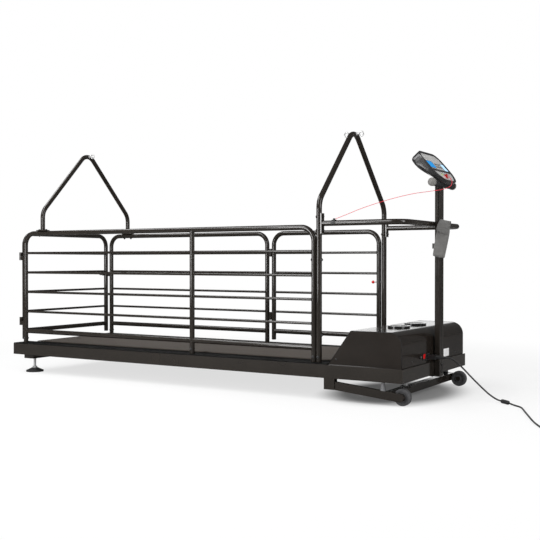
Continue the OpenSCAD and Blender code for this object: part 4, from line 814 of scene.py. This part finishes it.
class TREADMILL_OT_finishes(bpy.types.Operator):
    """Materials and rounded edges of the solid model's parts"""

    bl_idname = "treadmill.finishes"
    bl_label = "Finishes"

    def execute(self, context):
        slots = {part["node"]: part["material_slot"] for part in frame["record"]["subparts"]}
        for name, node in frame["nodes"].items():
            finish = bpy.data.materials[NODE_FINISH.get(name, SLOT_FINISH[slots[name]])]
            node.data.materials.clear()
            node.data.materials.append(finish)
            if name in EDGES:
                self.round_edges(node, EDGES[name] * MM)
            elif slots[name] == "frame_paint":
                self.even_shading(node)
        self.two_screens()
        self.steel_stems()
        return {"FINISHED"}

    def even_shading(self, node):
        even = node.modifiers.new("even", "WEIGHTED_NORMAL")
        even.keep_sharp = True

    def round_edges(self, node, width):
        weld = node.modifiers.new("weld", "WELD")
        weld.merge_threshold = 0.00002
        edge = node.modifiers.new("edge", "BEVEL")
        edge.width = width
        edge.segments = 2
        edge.limit_method = "ANGLE"
        edge.angle_limit = math.radians(40)
        edge.use_clamp_overlap = True
        self.even_shading(node)

    def two_screens(self):
        """The far screen is paler than the near one."""
        lens = frame["nodes"]["display_lens"].data
        lens.materials.append(bpy.data.materials["screen_far"])
        for face in lens.polygons:
            face.material_index = 1 if face.center.y > 0 else 0

    def steel_stems(self):
        """The feet's stems and nuts are bare steel above their plastic cones."""
        for name in ("foot_near", "foot_far"):
            foot = frame["nodes"][name].data
            foot.materials.append(bpy.data.materials["brushed_steel"])
            for face in foot.polygons:
                face.material_index = 1 if face.center.z > CONE_TOP else 0


# Welds

TUBE_R, BAR_R = 12.5, 6.4
POST_Y, GATE_Y, X_GATE = 358, 340, -1184
PANEL_LOW, PANEL_TOP, BAR_COUNT = 229, 777, 4
X_POST, X_MID, X_NEAR_END, X_FAR_END, X_DOOR_A, X_DOOR_B = -1154, 7, 694.1, 4, 48, 691
SWING_Z = 184
WELD_SINK = 0.3


class TREADMILL_OT_welds(bpy.types.Operator):
    """Weld beads where the bars and lower tubes meet their posts"""

    bl_idname = "treadmill.welds"
    bl_label = "Weld beads"

    def execute(self, context):
        self.bead = context.scene.treadmill_sizes.bead / MM
        x_way, y_way = Vector((1, 0, 0)), Vector((0, 1, 0))
        fixed, gate, door = Shape(), Shape(), Shape()
        for x, sense in ((X_POST, 1), (X_MID, -1), (X_MID, 1), (X_NEAR_END, -1)):
            self.column(fixed, Vector((x, -POST_Y, 0)), x_way * sense)
        for x, sense in ((X_POST, 1), (X_FAR_END, -1)):
            self.column(fixed, Vector((x, POST_Y, 0)), x_way * sense)
        for sense in (-1, 1):
            self.column(gate, Vector((X_GATE, sense * GATE_Y, 0)), y_way * -sense)
        for x, sense in ((X_DOOR_A, 1), (X_DOOR_B, -1)):
            self.column(door, Vector((x, POST_Y, 0)), x_way * sense)
        self.saddle(fixed, Vector((X_MID, -POST_Y, PANEL_TOP)), x_way, -UP, TUBE_R, TUBE_R - WELD_SINK)
        for shape, name, body in ((fixed, "panel", "frame"), (gate, "gate", "gate"), (door, "door", "door")):
            shape.piece(name + "_weld_beads", "frame_enamel", body, "frame_paint")
        return {"FINISHED"}

    def column(self, shape, foot, way):
        pitch = (PANEL_TOP - PANEL_LOW) / (BAR_COUNT + 1)
        self.saddle(shape, foot + UP * PANEL_LOW, UP, way, TUBE_R, TUBE_R - WELD_SINK)
        for i in range(1, BAR_COUNT + 1):
            self.saddle(shape, foot + UP * (PANEL_LOW + i * pitch), UP, way, TUBE_R, BAR_R)

    def saddle(self, shape, centre, post, way, post_r, bar_r):
        """Bead along the line where a bar that runs along way meets a post."""
        third = post.cross(way)
        steps = 30
        line = []
        for k in range(steps):
            a = 2 * math.pi * k / steps
            reach = math.sqrt(max(post_r ** 2 - (bar_r * math.cos(a)) ** 2, 0.6 * bar_r))
            around = third * bar_r * math.cos(a) + post * bar_r * math.sin(a)
            line.append((centre + way * (reach + 0.4) + around) * MM)
        ripple = [self.bead * (1 + 0.16 * math.sin(7 * k)) * MM for k in range(steps)]
        hub = sum(line, Vector()) / steps
        shape.tube(line, lambda t: ripple[int(round(t * steps)) % steps], 6, hub)


class TREADMILL_OT_plugs(bpy.types.Operator):
    """Plastic plugs in the open lower ends of the gate's and door's tubes"""

    bl_idname = "treadmill.plugs"
    bl_label = "Tube plugs"

    def execute(self, context):
        for body, feet in (("gate", [(X_GATE, -GATE_Y), (X_GATE, GATE_Y)]),
                           ("door", [(X_DOOR_A, POST_Y), (X_DOOR_B, POST_Y)])):
            plugs = Shape()
            for x, y in feet:
                plugs.lathe(point(x, y, SWING_Z), UP, [(r * MM, d * MM) for r, d in (
                    (9.5, -3), (12.3, -1.6), (12.3, -0.05), (10.3, -0.05), (10.2, 14), (8.5, 14))])
            plugs.piece(body + "_plugs", "black_plastic", body, "plastic")
        return {"FINISHED"}


# Soft pouch

POUCH_AT, POUCH_LEAN = (1166.0, -28.4, 639.0), math.radians(12)
POUCH_W, POUCH_H = 60.0, 176.0


def on_pouch(across, height, depth):
    """Place on the leaning pouch: across its width from the middle, up it and out from its back."""
    x = across * math.cos(POUCH_LEAN) + height * math.sin(POUCH_LEAN)
    z = height * math.cos(POUCH_LEAN) - across * math.sin(POUCH_LEAN)
    return point(POUCH_AT[0] + x, POUCH_AT[1] - depth, POUCH_AT[2] + z)


def pouch_depth(height):
    """How far the bag stands out from its back at a height."""
    belly = 11.5 + 12.5 * min(height / 128, 1) ** 0.8
    return belly - max(height - 136, 0) * 0.28


def pouch_half(height):
    full = POUCH_W / 2 - 2.4 + 1.8 * math.sin(math.pi * min(height / 160, 1)) + 1.0 * height / POUCH_H
    return full - 0.13 * max(height - 120, 0)


class TREADMILL_OT_pouch(bpy.types.Operator):
    """Grey tool pouch: lofted bag, flap, seams, stitches and strap"""

    bl_idname = "treadmill.pouch"
    bl_label = "Tool pouch"

    def execute(self, context):
        sizes = context.scene.treadmill_sizes
        bag = self.bag()
        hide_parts("tool_pouch")
        self.flap()
        self.seams()
        self.stitches(sizes.stitch)
        strap = self.strap(sizes.webbing / MM)
        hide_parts("pouch_strap")
        return {"FINISHED"}

    def bag(self):
        """Bag that is slim at its sewn foot and full under the flap, with a few slack folds."""
        rings = []
        rows, sides = 34, 48
        for i in range(rows + 1):
            t = i / rows
            height = 2 + 160 * t
            soften = min(1, math.sqrt(max(t, 0) / 0.06 + 0.05), math.sqrt(max(1 - t, 0) / 0.05 + 0.12))
            half = pouch_half(height) * (0.93 + 0.07 * soften)
            deep = pouch_depth(height) * (0.35 + 0.65 * soften)
            ring = []
            for k in range(sides):
                a = 2 * math.pi * k / sides
                c, s = math.cos(a), math.sin(a)
                across = half * math.copysign(abs(c) ** 0.45, c)
                swell = 0.5 + 0.5 * math.copysign(abs(s) ** 0.62, s)
                front = max(s, 0)
                fold = 0.75 * math.sin(0.17 * across + 0.06 * height)
                fold += 0.55 * math.sin(0.31 * across - 0.11 * height)
                crease = -1.4 * math.exp(-((height - 62 - 0.35 * across) / 7) ** 2)
                ring.append(on_pouch(across, height, 0.5 + deep * swell + front * (fold + crease)))
            rings.append(ring)
        shape = Shape()
        shape.rings(rings)
        bag = shape.piece("pouch_bag", "pouch_cloth", "frame", "cloth")
        self.soften(bag)
        return bag

    def soften(self, piece):
        smooth = piece.modifiers.new("smooth", "SUBSURF")
        smooth.levels = smooth.render_levels = 1

    def flap_line(self):
        """Side view of the flap from the bag's back over its top and down its front."""
        line = [(1.6, 138), (1.4, 156), (2.4, 167), (6.5, 172.5), (12.5, 171), (18.5, 164.5), (23.2, 155),
                (25.8, 143), (26.7, 131), (26.4, 121), (25.8, 113)]
        return spline([Vector((d, h, 0)) for d, h in line], 3)

    def flap(self):
        line = self.flap_line()
        columns = 18
        thick = 0.8
        shape = Shape()
        rows = []
        total = len(line) - 1
        for i, here in enumerate(line):
            before, after = line[max(i - 1, 0)], line[min(i + 1, total)]
            out = Vector((after.y - before.y, before.x - after.x, 0)).normalized()
            t = i / total
            row = []
            for sense in (1, -1):
                for k in range(columns + 1):
                    v = (2 * k / columns - 1) * sense
                    half = 24.4 + 6.4 * min(max((t - 0.3) / 0.55, 0), 1)
                    corner = 5.5 * max(0, (t - 0.86) / 0.14) ** 2
                    across = v * (half - corner * abs(v) ** 6)
                    dip = 0.9 * math.sin(2.6 * v + 5 * t) * t - 1.1 * abs(v) ** 3 * t
                    depth = here.x + out.x * (dip * 0.5 + sense * thick)
                    height = here.y + out.y * (dip * 0.5 + sense * thick) - 5.0 * v * max(t - 0.6, 0) / 0.4
                    row.append(on_pouch(across, height, depth))
            rows.append(row)
        shape.rings(rows)
        self.soften(shape.piece("pouch_flap", "flap_cloth", "frame", "cloth"))

    def seams(self):
        """Bound side seams and the sewn foot of the bag."""
        seams = Shape()
        for sense in (-1, 1):
            edge = [on_pouch(sense * (pouch_half(h) + 0.3), h, 0.5 + pouch_depth(h) * 0.5)
                    for h in range(6, 154, 7)]
            seams.tube(edge, 1.0 * MM, 8)
        foot = [on_pouch(a, 2.4 + 0.0016 * a * a, 6.4) for a in range(-27, 28, 3)]
        seams.tube(foot, 1.5 * MM, 8)
        hem = [self.on_hem(a, 113.8, 27.7) for a in range(-25, 26, 2)]
        seams.tube(hem, 0.8 * MM, 8)
        seams.piece("pouch_seams", "webbing", "frame", "cloth")

    def on_hem(self, across, height, depth):
        """Place along the flap's slanting hem."""
        return on_pouch(across, height - 0.172 * across, depth - 0.0009 * across * across)

    def stitches(self, size):
        """Rows of stitches above the flap's hem and over the bag's foot."""
        thread = Shape()
        half, radius, foot = 23, 0.38 * MM, 9.0
        gap = 1.45 * size / MM
        for k in range(int(2 * half / gap)):
            a = -half + k * gap
            b = a + size / MM
            places = (a, (a + b) / 2, b)
            thread.tube([self.on_hem(t, 117.6, 27.75) for t in places], radius, 6)
            thread.tube([on_pouch(t, foot, 0.7 + pouch_depth(foot) + 0.15) for t in places], radius, 6)
        thread.piece("pouch_stitches", "thread", "frame", "cloth")

    def strap(self, thick):
        """Webbing strap round the mast, with its loose end standing off to the rear."""
        low, high = 679.0, 705.0
        rear, front, half, r = 1141.4, 1171.6, 27.8, 3.6
        loop = rounded_outline(rear, front, -half, half, r, 6)
        inner = rounded_outline(rear + thick, front - thick, -half + thick, half - thick, r - thick, 6)
        rings = []
        for (x, y), (u, v) in zip(loop, inner):
            rings.append([point(x, y, low), point(x, y, high), point(u, v, high), point(u, v, low)])
        strap = Shape()
        strap.rings(rings, closed=True)
        tab = []
        for k in range(9):
            t = k / 8
            x = 1160 - 26 * t
            y = -27.9 - 2.6 * max(0, t - 0.5) ** 2
            tab.append([point(x, y, low + 1), point(x, y, high - 1), point(x, y - thick, high - 1),
                        point(x, y - thick, low + 1)])
        strap.rings(tab)
        piece = strap.piece("mast_strap", "webbing", "frame", "cloth", smooth=False)
        edge = piece.modifiers.new("edge", "BEVEL")
        edge.width = 0.4 * MM
        edge.segments = 2
        edge.limit_method = "ANGLE"
        return piece


# Console

FACE_TOP, FACE_TILT = (1091.5, 1129.0), math.radians(49)
FACE_SINK = 4.0


def on_face(u, v, w):
    """Place on the console's face: u down its slope, v across it and w out of it."""
    return point(FACE_TOP[0] + u * math.cos(FACE_TILT) + w * math.sin(FACE_TILT), v,
                 FACE_TOP[1] - u * math.sin(FACE_TILT) + w * math.cos(FACE_TILT))


FACE_LEN, CONSOLE_HALF, POD_ROUND, POD_FOOT = 190.0, 125.0, 52.0, 86.0
POD_DEEP, NOSE_DEEP, POD_KNEE, POD_EDGE, NOSE_R = 52.0, 28.0, 76.0, 15.0, 18.0
SCREENS = ((62, 104, -111, -33), (66, 112, 63, 109))


class TREADMILL_OT_console(bpy.types.Operator):
    """Shell, ridge, keys, screen frames, lamp and screws of the console"""

    bl_idname = "treadmill.console"
    bl_label = "Console"

    def execute(self, context):
        self.shell()
        self.ridge()
        self.keys()
        self.screen_rims()
        self.ready_lamp()
        self.screws()
        return {"FINISHED"}

    def shell(self):
        """Moulded shell: rim, straight wall, soft edge round the back and a slope in to the lower edge."""
        rim = [(12.0, -4.6), (11.8, -2.4), (10.6, -0.8), (8.4, -0.1), (1.8, 0.0), (0.5, -0.6), (0.0, -2.0)]
        levels = [(inset, w, FACE_LEN - inset) for inset, w in rim]
        steps = 23
        for k in range(steps + 1):
            w = -NOSE_DEEP + NOSE_R - (POD_DEEP - NOSE_DEEP + NOSE_R) * k / steps
            turn = min(max(-(w + NOSE_DEEP - NOSE_R) / NOSE_R, 0), 0.92)
            end = FACE_LEN - NOSE_R * (1 - math.sqrt(1 - turn * turn))
            past = max(0, -w - NOSE_DEEP + NOSE_R * 0.08)
            end -= past * (end - POD_KNEE) / (POD_DEEP - NOSE_DEEP + NOSE_R * 0.08)
            bend = min(max((-w - POD_DEEP + POD_EDGE) / POD_EDGE, 0), 1)
            levels.append((POD_EDGE * (1 - math.sqrt(1 - bend * bend)), w, end))
        levels.append((POD_EDGE + 3, -POD_DEEP, POD_KNEE - 3))
        rings = []
        for inset, w, end in levels:
            half = CONSOLE_HALF - inset
            r = min(POD_ROUND - inset, (end - inset) / 2 - 0.5)
            foot = min(POD_FOOT - inset, end - inset - r - 0.5)
            outline = rounded_outline(inset, end, -half, half, r, 12, foot)
            rings.append([on_face(u, v, w) for u, v in outline])
        shape = Shape()
        shape.rings(rings)
        shell = shape.piece("console_shell", "console_plastic", "frame", "console")
        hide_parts("console_back")

    def ridge(self):
        ridge = Shape()
        outline = rounded_outline(116.4, 125.6, -113.4, 113.4, 3.0)
        ridge.slab(on_face, outline, -FACE_SINK + 0.02, 0.4, edge=0.8)
        ridge.piece("console_ridge", "console_plastic", "frame", "console")

    def keys(self):
        keys = Shape()
        half_u, half_v = 5.5, 9
        for row in range(2):
            for column in range(3):
                u, v = 76 + 17 * row, -9 + 24 * column
                outline = rounded_outline(u - half_u, u + half_u, v - half_v, v + half_v, 3.0)
                keys.slab(on_face, outline, -FACE_SINK - 0.2, -FACE_SINK + 1.0, 0.3, 0.5)
        keys.piece("console_keys", "grey_plastic", "frame", "grey")

    def screen_rims(self):
        rims = Shape()
        for u0, u1, v0, v1 in SCREENS:
            outline = [on_face(u, v, -FACE_SINK + 0.3)
                       for u, v in rounded_outline(u0 - 1, u1 + 1, v0 - 1, v1 + 1, 8)]
            rims.tube(outline, 0.9 * MM, 8, sum(outline, Vector()) / len(outline))
        rims.piece("screen_rims", "console_plastic", "frame", "console")

    def ready_lamp(self):
        lamp = Shape()
        lamp.lathe(on_face(143, -35, -FACE_SINK - 0.1), on_face(0, 0, 1) - on_face(0, 0, 0),
                   [(0.0052, 0), (0.0052, 0.0012), (0.0042, 0.0022), (0.0012, 0.0027)], 24)
        lamp.piece("ready_lamp", "lamp_green", "frame", "screen")

    def screws(self):
        """Four screws in the back of the shell."""
        screws = Shape()
        back = on_face(0, 0, -1) - on_face(0, 0, 0)
        head = [(0.0045, 0), (0.0045, 0.0012), (0.0036, 0.0022), (0.0016, 0.0022), (0.0012, 0.0008)]
        for u in (26, 62):
            for v in (-92, 92):
                screws.lathe(on_face(u, v, 0.3 - POD_DEEP), back, head, 20)
        screws.piece("console_screws", "brushed_steel", "frame", "steel")


# Motor end

HOOD_FRONT, HOOD_HALF = 1136.0, 387.6


class TREADMILL_OT_hood(bpy.types.Operator):
    """Blank sticker and rolled edges of the motor hood"""

    bl_idname = "treadmill.hood"
    bl_label = "Motor hood"

    def execute(self, context):
        sticker = Shape()
        sticker.slab(lambda u, v, w: point(HOOD_FRONT + w, u, v), rounded_outline(115, 187, 168, 205, 3.0),
                     -0.05, 0.35, edge=0.1)
        sticker.piece("hood_sticker", "label_white", "frame", "face")
        rolls = Shape()
        for side in (-1, 1):
            rolls.tube(self.edge_line(side * HOOD_HALF), 1.4 * MM, 8)
        rolls.piece("hood_rolled_edges", "gloss_black", "frame", "hood_paint")
        return {"FINISHED"}

    def edge_line(self, y):
        """Outline of the hood's side, from the slope's foot over the round to the front."""
        x_rear, x_top, top, foot, r, sink = 782, 895, 316, 160, 57, 0.6
        line = [(x_rear + 1, foot + 1), (x_rear + 56, foot + 77), (x_top - 3, top - 3), (x_top + 4, top - sink),
                (980, top - sink)]
        line += [(HOOD_FRONT - r + (r - sink) * math.sin(a), top - r + (r - sink) * math.cos(a))
                 for a in (math.radians(9 * k) for k in range(11))]
        line.append((HOOD_FRONT - sink, foot + 3))
        return [point(x, y, z) for x, z in line]


class TREADMILL_PT_panel(bpy.types.Panel):
    """Settings and pieces of the treadmill"""

    bl_label = "Treadmill"
    bl_idname = "TREADMILL_PT_panel"
    bl_space_type = "VIEW_3D"
    bl_region_type = "UI"
    bl_category = "Treadmill"

    def draw(self, context):
        for groups in GROUPS:
            group = getattr(context.scene, groups)
            box = self.layout.box()
            for name in group.__annotations__:
                box.prop(group, name)
        for operator in OPERATORS:
            self.layout.operator(operator.bl_idname)


OPERATORS = (TREADMILL_OT_stage, TREADMILL_OT_mains_lead, TREADMILL_OT_lanyard, TREADMILL_OT_finishes,
             TREADMILL_OT_welds, TREADMILL_OT_plugs, TREADMILL_OT_pouch, TREADMILL_OT_console,
             TREADMILL_OT_hood)
GROUPS = {"treadmill_colours": TreadmillColours, "treadmill_sizes": TreadmillSizes,
          "treadmill_stage": TreadmillStage}


def register():
    for group in GROUPS.values():
        bpy.utils.register_class(group)
    for operator in OPERATORS:
        bpy.utils.register_class(operator)
    bpy.utils.register_class(TREADMILL_PT_panel)
    for name, group in GROUPS.items():
        setattr(bpy.types.Scene, name, bpy.props.PointerProperty(type=group))


def unregister():
    for name in GROUPS:
        delattr(bpy.types.Scene, name)
    bpy.utils.unregister_class(TREADMILL_PT_panel)
    for operator in reversed(OPERATORS):
        bpy.utils.unregister_class(operator)
    for group in reversed(GROUPS.values()):
        bpy.utils.unregister_class(group)


def main():
    register()
    make_finishes(bpy.context.scene.treadmill_colours)
    bpy.ops.treadmill.stage()
    bpy.ops.treadmill.mains_lead()
    bpy.ops.treadmill.lanyard()
    bpy.ops.treadmill.finishes()
    bpy.ops.treadmill.welds()
    bpy.ops.treadmill.plugs()
    bpy.ops.treadmill.pouch()
    bpy.ops.treadmill.console()
    bpy.ops.treadmill.hood()


if __name__ == "__main__":
    main()
